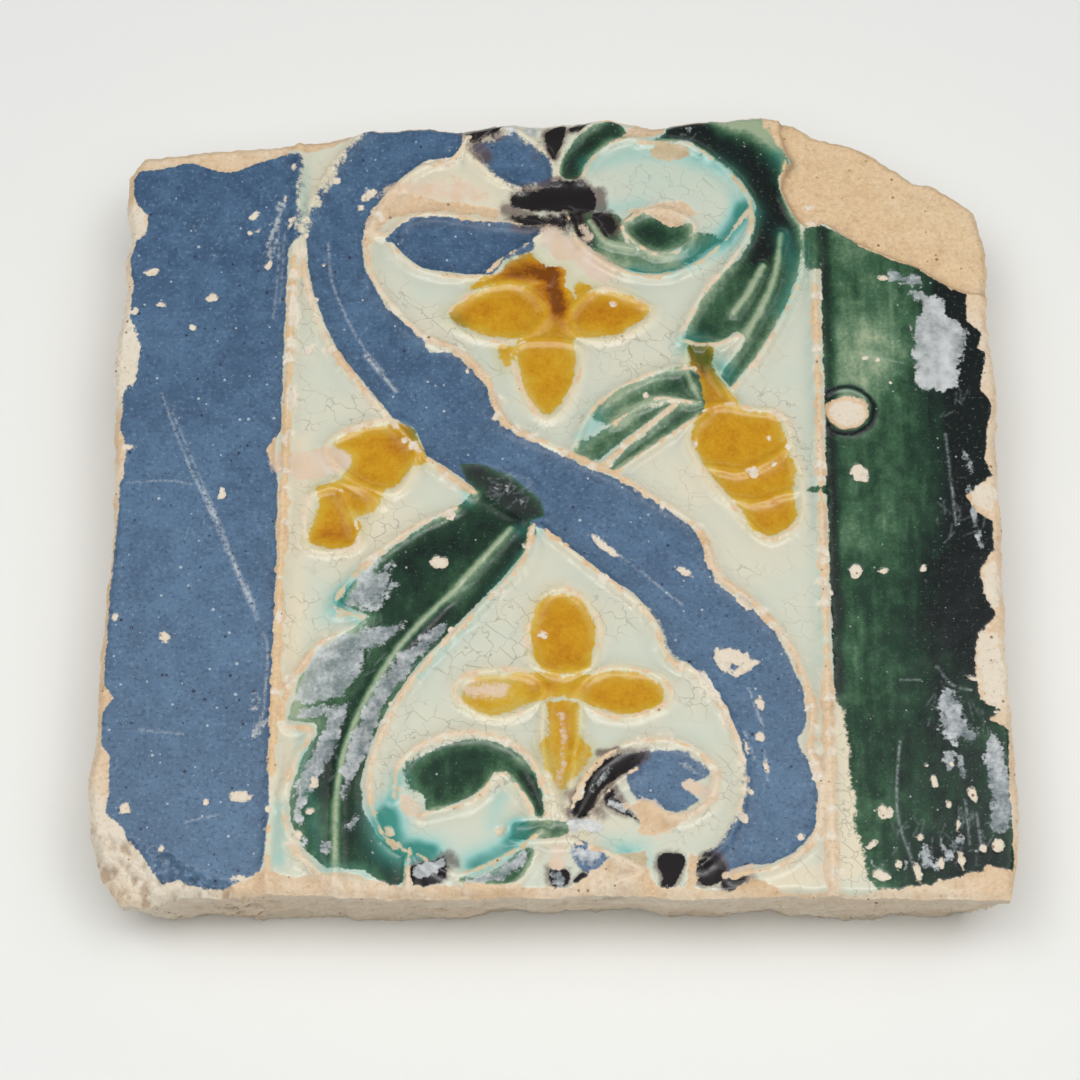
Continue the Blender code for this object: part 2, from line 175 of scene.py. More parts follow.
LINES: dict[str, Line] = {
    "left_band": Line(pairs(-41.9, -80, -41.7, 43, -41.7, 80), bare=0.6),
    "right_band": Line(pairs(40.5, -80, 40.5, 70), bare=0.5),
    "blue_scroll_left": Line(pairs(-28.6, 67.5, -32.6, 63.2, -36.2, 58, -39.2, 51, -40.6, 44.5, -39.4, 36,
        -36, 26, -30.5, 17.6, -24.8, 10.6, -19.6, 4.4, -12.6, -1.2), bare=0.35),
    "blue_scroll_below": Line(pairs(-2.4, -6.9, 3.6, -12.4, 9.6, -17.6, 14.4, -22.6, 17, -29.4, 21, -31.6,
        25, -37.6, 27.6, -45, 27.8, -51, 25.4, -58.4, 21.4, -62.6), bare=0.45),
    "blue_scroll_right": Line(pairs(-14.6, 64, -17, 59.8, -22, 58, -27, 52.6, -30, 45.6, -29.6, 38.8,
        -26.6, 33, -21.4, 27, -15.4, 24, -10.9, 18.6, -8, 11.2, 0.4, 6.6, 8.4, 2.4, 14.4, -1.6, 21.6, -7.2,
        24.4, -15, 30, -20, 35.4, -27.6, 38, -37, 37.6, -44, 39.2, -50, 38, -58, 33, -62.6,
        26, -64.4), bare=0.45),
    "upper_curl_outer": Line(pairs(-13.6, 62, -9, 66, -4.4, 63.6, -1.4, 60, -0.6, 56), bare=0),
    "upper_curl_inner": Line(pairs(-14.6, 61, -10.8, 57, -5.8, 54.2), bare=0),
    "blue_leaf_link": Line(pairs(-30.4, 46, -25.8, 44.8), bare=0.2),
    "green_leaf_left": Line(pairs(-0.2, 56, 1, 62, 5, 66.6, 10, 69.5), bare=0),
    "green_leaf_right": Line(pairs(3.6, 56, 6.2, 61, 10.6, 63.8, 14.4, 63.4), bare=0.1),
    "green_scroll_inner": Line(pairs(13, 63.2, 20.4, 63, 26, 58.8, 30, 53.4, 30.6, 47, 27.4, 40.8, 23, 35,
        20.6, 30, 19.4, 26.4, 24.4, 25.4, 28.4, 27), bare=0.15),
    "green_scroll_outer": Line(pairs(36.4, 60, 36.2, 53, 38.8, 47, 38.9, 41, 36.4, 33, 32.2, 24.4,
        27.2, 17.4), bare=0.1),
    "green_scroll_vein": Line(pairs(35.4, 46, 34.2, 38, 31.2, 30.6, 25.6, 20.6), bare=0),
    "green_scroll_fold": Line(pairs(32.4, 40, 30, 35, 27.6, 31.4), bare=0),
    "green_curl_outer": Line(pairs(1.4, 49.6, 3.4, 44, 8.4, 39.6, 15, 37.8, 21, 39.6, 26, 44,
        30.2, 50), bare=0.1),
    "green_curl_inner": Line(pairs(5.2, 48, 7.6, 44.4, 12, 43.2), bare=0),
    "left_bud_lower_seam": Line(pairs(-34.2, 0.8, -29.6, -0.4, -26.4, -3.2), bare=0, height=0.35),
    "right_stem_left": Line(pairs(20.4, 26, 20.2, 21, 22.4, 15), bare=0),
    "right_stem_right": Line(pairs(24, 25, 24.4, 21, 27.6, 15), bare=0),
    "right_bud_upper_seam": Line(pairs(23.4, 3.6, 28, 2.8, 32.4, 4.6, 35.4, 7), bare=0, height=0.4),
    "right_bud_lower_seam": Line(pairs(26.6, -2, 30.4, -2.6, 34, -1.2, 36.8, -0.6), bare=0, height=0.4),
    "right_leaf_top": Line(pairs(21.2, 21.2, 15.4, 20.4, 9.4, 17.2, 5, 12.8, 2.2, 5.6), bare=0.1),
    "right_leaf_rib": Line(pairs(8.8, 11.2, 15, 15.4, 22.2, 14.8), bare=0.15),
    "right_leaf_vein": Line(pairs(7.4, 4, 12, 8.8, 18.5, 14.7), bare=0.3),
    "right_leaf_foot": Line(pairs(9.2, 2.6, 15, 7.2, 22.6, 12.8), bare=0.25),
    "left_leaf_outer": Line(pairs(-15.4, -4, -22.4, -7.8, -29.8, -14.6, -33.4, -21, -29, -23, -35.4, -27.2,
        -39.6, -34, -40.4, -40.4, -36.4, -41.4, -38.6, -47, -40, -54, -37.6, -61, -33.6, -65), bare=0.3),
    "left_leaf_inner": Line(pairs(-3.4, -6.6, -5.4, -13.4, -11.4, -21, -19.4, -30, -24.6, -39, -27.4, -49,
        -25.6, -57.4, -21.4, -61), bare=0.4),
    "left_leaf_rib": Line(pairs(-7, -7.4, -15, -17.4, -23.4, -27.4, -29.4, -39, -32, -50,
        -32, -66), bare=0),
    "left_foot_stroke": Line(pairs(-21.3, -60.4, -21.4, -70), bare=0.4),
    "left_curl_outer": Line(pairs(-23.8, -52, -22.6, -46.2, -17, -42.4, -10.4, -41.8, -4.2, -45.2,
        -1.2, -52, -1, -55), bare=0.3),
    "left_curl_inner": Line(pairs(-19.4, -55, -12, -52.6, -8, -48.4, -4.6, -52, -3, -55.6), bare=0.2),
    "left_curl_below": Line(pairs(-20, -61.4, -14, -64.4, -6.4, -61, -2, -57.6), bare=0.1),
    "lower_bar": Line(pairs(-1, -55.6, -6.2, -56, -6, -59.2, 2, -59), bare=0),
    "lower_leaf": Line(pairs(-13.6, -65.8, -6, -66.2, -2.6, -61), bare=0),
    "lower_stem_left": Line(pairs(-1.8, -37, -1.8, -44, 0.4, -55), bare=0),
    "lower_stem_right": Line(pairs(3.6, -37, 3, -44, 1.6, -55), bare=0),
    "right_curl_outer": Line(pairs(2.4, -54, 5.4, -47.4, 11.4, -43.2, 18.4, -43.2, 23.4, -47.4, 22.6, -52.6,
        18, -55.2, 13, -53), bare=0.35),
    "right_curl_inner": Line(pairs(4.6, -55.4, 8.2, -50.4, 12, -47.4), bare=0.1),
    "lower_scroll_end": Line(pairs(2.2, -59, 7, -60.6, 12.4, -63.6, 9, -65.6), bare=0.2),
    "dark_bar": Line(pairs(-8.2, 53.2, -6, 55.8, 0.4, 55.5, 6.4, 55.9, 8.2, 52.8, 6.2, 50, -0.4, 49.8,
        -6.2, 50.1), True, 0, 0.15),
    "blue_leaf": Line(pairs(-26.4, 44.4, -22, 49.2, -12.4, 48.2, -2.6, 46.4, -8.8, 41, -12.8, 37.8,
        -21.4, 38.8), True, 0.1),
    "green_bulb": Line(pairs(10.2, 47, 15, 50.4, 21.2, 48.2, 20.6, 43.4, 15, 42.2), True, 0.1),
    "upper_petal_left": Line(pairs(-17.4, 30.4, -12.4, 35.4, -6, 36.4, -1.8, 31, -6, 26.2,
        -12.6, 26.6), True, 0.05, 0.36),
    "upper_petal_right": Line(pairs(1.8, 31, 7, 35.8, 15, 31.6, 9.4, 26.6, 3.4, 27), True, 0.05, 0.36),
    "upper_petal_below": Line(pairs(-6.8, 25, -4.8, 16, -1.6, 12, 1.8, 15.4, 3.4, 25), True, 0.05, 0.36),
    "upper_sepals": Line(pairs(-14.4, 36.6, -9, 40.4, -4.4, 43.4, -1, 40.8, -2, 36.4,
        -8, 37), True, 0, 0.2),
    "upper_style": Line(pairs(-2.2, 37, -0.4, 40.4, 1.4, 37, 0, 31), True, 0, 0.15),
    "left_bud_top": Line(pairs(-35.6, 7, -29.4, 11, -22.6, 10.8, -21.8, 4, -25, -1.2,
        -32, 1.6), True, 0.05, 0.45),
    "left_bud_foot": Line(pairs(-37.6, -1.6, -33.4, -0.4, -30.6, -6.4, -30.6, -10.6, -37, -11,
        -38.4, -6), True, 0.05, 0.45),
    "right_bud": Line(pairs(20.2, 9, 24, 14.4, 30, 14, 35.2, 12.4, 36.2, 6.6, 37.6, 1.6, 37.2, -5.4,
        32.4, -8.9, 28, -4.4, 23.4, 1.6), True, 0.08, 0.45),
    "crossing": Line(pairs(-16, 3.4, -10, 4.4, -3.4, 0.4, -1, -5, -6, -5.4, -13, -0.6), True, 0, 0.15),
    "lower_petal_top": Line(pairs(-4.2, -25, -1.6, -18.4, 2.6, -18, 6.4, -23.4, 5, -30.6,
        -2.4, -31), True, 0.12, 0.4),
    "lower_petal_left": Line(pairs(-2, -33.4, -6, -31.2, -13.2, -32, -15, -35.6, -9, -39.2,
        -3, -37), True, 0.2, 0.4),
    "lower_petal_right": Line(pairs(3.8, -33.4, 8.4, -30.7, 15.6, -32.2, 16.6, -36.2, 10, -39,
        4, -36.8), True, 0.15, 0.4),
}

PATCHES: tuple[Patch, ...] = (
    *patches(Glaze.BLUE, Outline.ANGULAR, (
        (1, -68.3, 56.2, -67.3, 58, -64, 58.2, -60, 59.3, -58, 59.2, -54.5, 58, -52.5, 57.7, -50.5, 58.3,
         -48.5, 59.5, -46.5, 60.3, -43.8, 61.3, -41.3, 60.3, -41, 52, -41.3, 45, -42.7, 43, -42.7, 15,
         -42.5, 10, -44.5, 6.5, -43, 3, -42.6, -5, -42.2, -20, -41.9, -38, -42.1, -55, -42.5, -62.5,
         -43, -64.2, -44.5, -65.5, -48, -66.6, -50.5, -66.5, -53, -66, -55, -65.2, -57.5, -65.2, -59, -64,
         -59.8, -62.5, -61, -61, -62.5, -59.5, -63.5, -57.5, -65, -56, -66.4, -54.8, -66, -52, -66.3, -45.5,
         -67.5, -44.3, -67.8, -38.5, -66.2, -36, -67.8, -34, -67.8, -15, -67.2, 0, -66.5, 6, -67.8, 10,
         -67.6, 17, -65.8, 20, -65.6, 25, -67.3, 30, -67.2, 36, -67.9, 41, -67.3, 44.6, -65.8, 45.6,
         -65.5, 49, -67.4, 51.4, -68.2, 53),
        (1, -29.5, 65.9, -32, 63.2, -34, 61, -35.3, 58, -36.7, 55, -38, 52.5, -39.8, 47.5, -40.2, 45.5,
         -39.8, 43, -39.3, 38, -38, 33.3, -36.5, 29, -34.3, 24, -31.3, 20, -28.3, 16, -25.5, 12, -22, 10,
         -20.7, 7, -20, 5.2, -17, 3.3, -13.5, 0.5, -8, -3.5, -3.5, -6.6, 0, -9, 4, -12.2, 8, -15.8,
         11.5, -18, 14, -21, 16, -25, 17, -28.5, 20, -30, 23, -33, 25, -37, 26.8, -41, 28, -45, 28.3, -49,
         27.5, -53, 25.8, -57, 23, -60.5, 22, -61.3, 25.5, -64, 28, -62.5, 32, -62.3, 35, -60.3,
         37.8, -57.5, 38.9, -53.5, 38.2, -48.5, 36.5, -44, 35.8, -42.3, 36.8, -41, 37.4, -38, 36.8, -34,
         36, -32, 34.8, -28.5, 32.5, -24, 29, -20.3, 25.5, -17.5, 24, -16.3, 23.2, -12, 22.2, -9, 20, -6.3,
         17.5, -4.3, 14.5, -2.2, 12.7, -0.7, 10, 1, 6, 2.8, 2, 5, -2, 7, -6, 9.3, -8.3, 11, -9.8, 15,
         -11.5, 19, -13, 21.5, -15, 23, -17, 24, -20, 24, -21.3, 26.8, -24, 29, -26.8, 32, -28.8, 35.8,
         -30.5, 39.5, -31, 44, -30, 48, -28.3, 52, -25.5, 55.8, -21.5, 59.5, -16.5, 60.5, -15.6, 62,
         -15.5, 66.2, -22, 66.6),
    )),
    *patches(Glaze.BLUE, Outline.ROUNDED, (
        (2.5, -8, 65, -6.5, 64.5, -5, 63.3, -3.5, 61.8, -2.2, 60.8, -1.2, 58, -1.6, 55.3, -6.5, 54.9,
         -8.5, 56, -11, 58, -13, 60.8, -14, 61.6),
        (1, -27.3, 44.8, -24, 47.8, -22.5, 48.6, -20, 49, -13.5, 48.2, -8, 47.8, -6, 47, -3, 47, -2.2, 46,
         -4, 45, -3.8, 43, -8, 41, -10, 38.5, -12, 38, -20, 39, -22, 39.8, -25, 42.5, -26.2, 44),
        (1.6, 10.6, -47, 13, -44.7, 17.5, -44.2, 20, -45, 21.8, -46.5, 22.8, -48, 20, -50.3, 21, -52.3,
         18.5, -54.2, 16.5, -54, 13, -52.5, 11.5, -51.5, 10.5, -48.5),
        (2, 2.8, -60, 4, -59.2, 6.8, -61, 9.5, -63.3, 11.8, -63.6, 9, -64.7, 5, -64.3, 2.6, -61),
    )),
    *patches(Glaze.GREEN, Outline.ANGULAR, (
        (1, -15, 4.2, -11, 4, -9, 3, -7, 2.2, -5, 0.3, -3.5, -1, -2.3, -2.3, -1.6, -5, -4, -5.8, -3, -8,
         -4.5, -11, -8, -15.5, -12, -20.2, -17, -26.3, -20.5, -30, -24, -36, -26, -40, -27.5, -44,
         -28.7, -50, -28.2, -54, -26.3, -58, -22, -61.5, -21.9, -65.5, -24, -66.3, -28, -63.5, -33, -63.6,
         -37, -60, -38.7, -56, -39, -52, -37.5, -46, -35.3, -42, -35.5, -40.3, -39.7, -39.5, -39.5, -37.5,
         -38, -32.5, -35, -28, -31, -24.8, -28, -22.4, -32.7, -20, -31, -17, -28, -13.5, -24, -10,
         -20, -6.8, -15, -3.4, -12.5, -0.6, -14, 1.6),
        (1, 41.6, 48, 44.2, 47, 48.5, 44, 52, 42.4, 57, 40.2, 60, 38, 62, 36.5, 64.7, 35.5, 64.5, 30.5,
         66.7, 28.3, 66, 25.5, 67.2, 24.8, 66.2, 18, 67.8, 15.5, 66.7, 10.5, 66.2, 5.5, 67.3, 2.8, 65, 0.8,
         63, -1, 64.5, -3.5, 67, -5, 66.7, -10.3, 64.4, -14, 65.3, -17.5, 66.6, -21.3, 63.5, -25.5,
         62.9, -31, 63.5, -35.2, 66.8, -37, 65, -38.7, 67.5, -40.2, 67.2, -50, 67.3, -60, 67.2, -63.5,
         63, -62.5, 61.8, -65.3, 56, -64.9, 54, -66.8, 51.8, -65.8, 50, -66.4, 47, -66.3, 45.6, -64,
         44, -57, 43.2, -40, 41.5, -34, 41.4, 0),
    )),
    *patches(Glaze.GREEN, Outline.ROUNDED, (
        (1, 0.3, 57, 0.8, 60, 1.8, 62, 3, 64, 5, 66, 7, 67.3, 9, 67.9, 10.3, 66.5, 11.5, 64.3, 8, 62.7,
         6.5, 61.5, 4.5, 59, 3.2, 56.5),
        (1, 15, 64, 17, 65.3, 17.8, 67.2, 20, 67.7, 25, 68.5, 30, 69, 33, 68.6, 35, 66, 36.3, 63.3,
         39.5, 62.5, 40.2, 61.5, 37.3, 60, 37.2, 58, 35.5, 57, 35.4, 55, 36, 53, 37.3, 50, 38, 48.5,
         38.6, 45, 38.2, 40, 37, 36, 35.6, 32, 34, 28.5, 32, 25, 29, 20.5, 27.3, 18, 26.3, 18.8, 25.7, 20.5,
         29.2, 25.8, 28, 28, 26, 26.2, 22.5, 25.8, 20, 26.7, 21.2, 30, 22.8, 34, 25.5, 38, 29, 42, 30.8, 46,
         31.3, 50, 30.3, 54, 27.5, 58, 23, 61.5, 20.5, 63.9, 17, 62.8),
        (1, 1.6, 50, 2, 48, 2.8, 46.2, 4, 44.3, 5.5, 42.8, 7.5, 41, 9.5, 39.9, 12, 39, 15, 38.5, 18, 38.9,
         20, 39.8, 22, 41.2, 24, 43, 26, 44.8, 24, 46.4, 21.6, 46, 20, 43.8, 18, 42.3, 12, 43.2, 10.2, 46,
         9.6, 49.5, 5, 50),
        (1, 10.6, 48.6, 12.5, 50, 15, 49.6, 18, 48, 21, 47.8, 21.4, 46, 20, 43.6, 16, 42.4, 12, 43.4,
         10.4, 46.6),
        (1.4, 20, 21.3, 16.5, 20.3, 10.5, 17.7, 7.5, 15.7, 6, 14, 5.5, 12.6, 8.8, 11.2, 13, 14, 18.5, 15.4,
         22.5, 15.4, 22, 20),
        (1.4, 2.8, 5.8, 4.5, 8.4, 8.5, 11, 13, 13.8, 18, 15, 15, 12.2, 11, 9, 7, 5.6, 5.5, 4.5),
        (1, 20.4, 21.6, 19.6, 19, 20.2, 14, 22.2, 12.8, 22.8, 15, 21.8, 19),
        (1.2, 8, 3.3, 9.3, 2.8, 12, 5, 16.5, 8.7, 20.5, 11.8, 22.5, 13.6, 21.5, 15, 18.5, 14.8, 14.5, 10,
         10.5, 6.5),
        (1, -22, -47, -20.5, -45.5, -18.5, -44.3, -13.5, -42.7, -9, -43, -5, -45.5, -2.5, -49.5,
         -1.6, -54.8, -3, -55, -4.5, -52, -8.5, -47.8, -10, -50, -13.5, -52.5, -18.5, -54.5, -19.5, -51.5,
         -21.8, -50.2),
        (1, -6, -58, -5, -56.2, -3, -55.8, 1.8, -56, 0.5, -58.5, -6.3, -58.8),
        (1, -14, -65, -11, -64.6, -8, -63, -5, -60.3, -3, -60.5, -4, -64, -6, -65.5, -12, -66.3),
        (2, 38.8, 46, 41.8, 47.4, 41.9, 40, 38.8, 40.4),
        (1, 38, -0.6, 39, 0.4, 41.8, 0.2, 41.8, -1, 39, -0.6),
    )),
    *patches(Glaze.AMBER, Outline.ROUNDED, (
        (1.6, -17, 30.5, -15.5, 32.5, -14, 34, -12, 35, -9.5, 36, -7, 36.2, -3, 34.8, -1.4, 31.4, -3, 27,
         -5, 26.6, -10, 26.7, -14, 28.2),
        (1.6, -13.5, 35.5, -11.5, 38, -9, 39, -8, 40.5, -4.5, 42.6, -1.8, 40, 1, 39.5, 1, 36, 0.5, 32.5,
         -0.5, 31, -2, 35.5, -6, 36.2),
        (2, 2.8, 35, 3.2, 36.8, 5.5, 36, 3.5, 34.3),
        (1, -5, 36, -1, 37.4, 2.4, 35, 3.2, 31, 2.6, 26.2, -4.5, 26.2, -6, 30),
        (1.6, 1.5, 32, 3, 34, 5, 35, 8, 35.2, 10.5, 34.7, 12.5, 33.8, 14.5, 31.8, 12.5, 29.5, 9, 27.3,
         2.5, 26.8, 1.6, 29.4),
        (1.4, -6.2, 26.3, -6, 22, -5.3, 18, -4.5, 16, -3.3, 14, -1.5, 12.7, 0, 14, 2, 17.5, 2.9, 22,
         2.5, 26.8, 2.2, 30, -2.6, 30),
        (2, -9.5, 25.2, -6.3, 24.8, -7.7, 21.3),
        (1.5, -34.5, 7.2, -31, 9.7, -26, 10.8, -22.5, 10.6, -20.5, 6.5, -19, 4.3, -21.8, 3.4, -24.5, 0,
         -26, -0.5, -27.3, -3.5, -30.6, -5.6, -29.8, -6.8, -31.5, -10.5, -37, -10.2, -37.7, -8, -36.2, -3.3,
         -36.8, 0, -33.5, 1, -31.5, 5.2),
        (1.4, 20.6, 25.6, 24, 25.6, 24.4, 21, 27.2, 16.4, 29.3, 13.4, 33.5, 13.3, 34.9, 10, 35.8, 6,
         36.8, 3, 36.2, -1.5, 36.8, -4.7, 33, -8.2, 29.5, -7, 28.2, -3.5, 24.6, 1, 21.4, 6.5, 20.9, 10,
         22.2, 14.6, 21, 20),
        (1.3, -3.8, -25.5, -2.8, -20.5, 0.3, -18.2, 3.8, -19.5, 6, -24, 5.5, -29, 4.4, -31.4, -2, -31.4),
        (1.6, -1, -31.4, -7, -31.9, -12.5, -32.8, -14, -36.6, -9.5, -38.7, -2.5, -36.2, 1, -35.4, 1.6, -33),
        (1.4, 0.6, -32.6, 4.5, -32, 11.5, -31.4, 15.5, -33.3, 16, -36, 15, -37.5, 10, -38.4, 3, -36,
         1, -35),
        (1.8, -1.2, -36.5, 3.2, -36.6, 3.6, -41.4, 5.4, -44, 4.6, -46.4, 2, -49.8, 0.5, -50.4, -2.4, -44.4,
         -1, -41),
    )),
    *patches(Glaze.BLACK, Outline.ROUNDED, (
        (1.6, -7.1, 50.8, -6.8, 53.4, -2, 54.8, 1.4, 56, 4.6, 55.2, 6, 52.6, 5.6, 50.4, 0, 50.4),
        (3.5, -7.6, 49.4, -3.4, 49.2, 1.4, 48.8, 0.8, 46.4, -1.4, 47.4, -5.4, 47.2),
        (1.8, 2, 49, 3.4, 50.2, 3.8, 48.4, 4.8, 46.2, 3.4, 45.4),
        (2.4, 5.6, 49.4, 8.2, 49.6, 9, 47, 7.4, 45.4),
        (2.4, -14.8, 64.4, -14.4, 67.2, -11, 66.9, -9.4, 65.4, -11.6, 64, -13.4, 63.4),
        (1, -2, 65.5, 0.8, 66.8, 1.2, 65.5, 0.5, 63, -0.8, 59.8, -2, 63),
        (1, 1.8, 66.2, 4.8, 67.5, 3.5, 65.3, 2.3, 65.2),
        (1.6, 2, -54.5, 2.8, -52, 5, -48.5, 7, -46.5, 9, -45.2, 13.3, -44.6, 11.5, -47, 8, -49.8,
         6.5, -51.5, 4.5, -55),
        (1.4, 7.5, -50.7, 9.5, -52.5, 12.2, -55.5, 9.5, -54, 7, -53),
        (1.2, -20.8, -63.2, -18, -62.2, -16.2, -61.4, -15.7, -63.4, -16.2, -65, -18.8, -66.2, -20.6, -67),
        (1.6, 7.3, -50.6, 8.6, -50.8, 8.9, -51.8, 7.8, -52),
        (1, -1, -63.3, 1.7, -63.5, 1.9, -65.5, 0, -66.8),
        (1, 4.2, -63.8, 5.6, -65.3, 4.2, -66.8, 2.8, -65.3),
        (1, 15.2, -61.2, 16.6, -60.5, 18.6, -60.8, 19, -62.2, 18.4, -63.6, 17.8, -65, 16.6, -66.4,
         15.4, -66, 15.9, -64.4, 15.1, -62.8),
        (1, 21, -62, 23.8, -61.5, 24.8, -64.5, 22, -65.8, 20.4, -64),
        (2, 24.2, -65.3, 28.3, -64.3, 25.5, -66.8),
    )),
    *patches(Glaze.BARE, Outline.ANGULAR, (
        (1, 36.2, 62.6, 37.3, 60, 35.7, 57, 35.4, 55, 36.2, 52.5, 37.2, 50.3, 38.3, 48.3, 39.5, 47.4,
         41, 47.4, 41.8, 48.4, 43, 48, 44.2, 47, 47, 45, 50, 43.4, 54, 41.5, 57, 40.2, 60, 38, 62, 36.5,
         64.7, 35.5, 72, 35, 75, 75, 36, 72, 35.4, 66),
        (1, 11, 50.3, 15, 51.5, 18, 52.3, 19.8, 52.8, 21, 51, 22.3, 50.3, 20, 47.9, 18, 47.7, 15, 49.5),
        (1, -43, -64, -38, -64.6, -30, -64, -22, -66.4, -14, -65.8, -3, -66.2, 2.4, -66, 8, -61.4,
         13, -60.4, 14.6, -66, 19, -66, 19.6, -60.6, 21, -61, 20.4, -66, 25, -67, 29, -64.6, 34, -66.4,
         44, -66.8, 56, -65.2, 62.4, -63, 66, -63.6, 70, -64, 70, -75, -72, -75, -72, -52, -66.6, -54.6,
         -63, -58, -60, -62, -57.4, -65.2, -48, -66.7),
        (1, -70, 57, -67.4, 58.2, -64, 58.4, -60, 59.5, -54.5, 58.2, -50.5, 58.5, -46.5, 60.5, -43.8, 61.5,
         -41, 61, -36, 62.4, -30.6, 65.4, -24, 67, -24, 70, -72, 70),
    )),
    *patches(Glaze.BARE, Outline.ROUNDED, (
        (1.4, -30.6, 43, -28.8, 45.6, -27.4, 48, -24, 49.4, -19, 50, -13, 49.4, -9.8, 48.8, -9.4, 50.4,
         -13, 51.6, -19, 52.6, -24.8, 53.4, -28.4, 52.2, -30.6, 48),
        (1, 14.5, 60.8, 16, 63, 20, 62.8, 21, 60.8, 17, 60.2),
        (1, 10.5, 64.4, 12, 66.8, 15, 68, 17.4, 66.8, 16.6, 65.2, 13, 64),
        (1.5, 10, -53, 13, -52.8, 17.4, -54.8, 20, -54, 17, -57.4, 12.4, -57.6, 12.4, -55.4),
    )),
    # Painted reflection: grey patches of glare on the glazes, all but the two thin ones on the blue band,
    # which are real scuffs.
    *patches(Glaze.GLARE_AND_SCUFF, Outline.ANGULAR, (
        (1, 55.8, 18, 55.7, 29.5, 57.5, 33, 56, 35.5, 59, 35, 61, 34.2, 60.8, 31.5, 65.2, 28.5, 63.8, 25,
         63, 22, 62.3, 18),
        (1, 52, 40.3, 54.8, 38.8, 57.2, 38.3, 57.7, 36.8, 54, 37.5, 52, 37.2),
    )),
    *patches(Glaze.GLARE_AND_SCUFF, Outline.ROUNDED, (
        (2, 57.3, -37.9, 57.9, -35.4, 59.2, -35, 60.5, -37.9, 61.2, -40.8, 62.4, -40.5, 62.1, -42.4,
         60.5, -42.4, 58.6, -42.4, 57.3, -41.1),
        (1, 63.7, -43.7, 64.7, -41.3, 65.6, -43, 66.6, -45, 67.2, -47.8, 67.6, -51.4, 67.2, -53.6,
         66.9, -56.2, 65.6, -57.1, 62.8, -56.2, 63.7, -53.6, 63.7, -50.4, 64, -47.5),
        (1.6, -46.6, 40.6, -45.4, 42, -44.6, 47, -43.8, 52, -45, 52.2, -45.4, 47.6),
        (2, -44.6, -36, -43.6, -36, -43.4, -42, -44.4, -41),
        (1, 2.2, -55.6, 5, -55.4, 7, -56, 6.8, -57.6, 4.6, -57.4, 2.4, -57.2),
        (1.2, 0, -63.6, 1.2, -64.2, 1.2, -65.6, 0.6, -66.2, 0, -65),
        (1.6, 3.2, -60, 6.2, -60.2, 7, -62, 5, -63, 3.4, -61.8),
        (1.8, 3.4, -51.4, 4.4, -50.2, 6.2, -49.4, 5, -51, 4.2, -53),
        (1, 8.4, -52, 11.2, -53.2, 12, -55.4, 10.6, -54.6, 8.2, -53.4),
        (1, 11.6, -49.2, 12.4, -51.4, 15.4, -52.6, 15.2, -53.8, 12.4, -53),
        (1, 18.6, -46.2, 20, -46.4, 22.6, -48.4, 21.4, -48.6, 19, -47.2),
        (1.4, -9.2, 66.8, -6.4, 67, -3.8, 66, -4.2, 64.4, -7.2, 65),
        (1.5, 57.6, -44.3, 58.9, -44.2, 58.8, -46, 58, -46.9),
        (1.5, 59.4, -44.6, 60.5, -44.8, 60.5, -48.2, 59.8, -47),
        (3, -31.9, -20.6, -30.1, -15.2, -27.7, -13.2, -24.2, -14.7, -24.7, -17.7, -27.2, -20.1,
         -30.4, -20.9),
        (1, -37.3, -30, -34.6, -27, -31.6, -25.3, -27.7, -24.1, -23.2, -23.6, -24.7, -25.6, -27.2, -27.5,
         -28.7, -28.5, -28.9, -31.5, -30.1, -33.5, -31.4, -35.9, -34.1, -36.4, -36.6, -36.9, -38.5, -35.9,
         -38, -32.5),
        (1, -35.6, -37.3, -33.1, -36.6, -30.9, -36.8, -31.4, -39.9, -32.4, -43.3, -33.1, -46.3, -33.9, -47,
         -35.1, -49.7, -36.6, -52.2, -37.6, -53.7, -38.6, -53.2, -38, -49.3, -37.1, -46.3, -35.1, -43.3,
         -34.6, -39.9, -35.3, -39.2, -38.5, -39, -38, -37.6),
        (1, -23.5, -28.5, -21.3, -26.6, -19.3, -24.6, -17.3, -23.6, -15.8, -23.1, -18.3, -26.6, -20.3, -29,
         -21.8, -31.5, -23.2, -34, -25, -36.4, -25.7, -38.4, -26.4, -41.4, -27.7, -44.8, -28.7, -47.3,
         -30.1, -49.7, -31.4, -52.7, -31.6, -49.3, -31.1, -45.3, -30.1, -41.9, -28.7, -37.9, -27.2, -35.4,
         -26.2, -33, -24.7, -30.5),
        (1, -38.4, -54, -37.4, -54.4, -36.8, -56.8, -38, -56.6),
        (1, -37.2, -58, -36.2, -58.2, -36.4, -60, -37, -59.6),
        (1, -34, -59.4, -33, -59.4, -33, -60.8, -33.8, -60.8),
        (1, -30.6, -56.8, -29.2, -55.2, -28.8, -56, -30, -57.4),
        (1, -20.4, -63, -16.6, -61.8, -16.2, -63, -20, -64.8),
        (1, -12.6, -65.6, -9, -63.6, -5, -61, -4.2, -62, -7, -64.6, -11, -66.2),
    )),
)

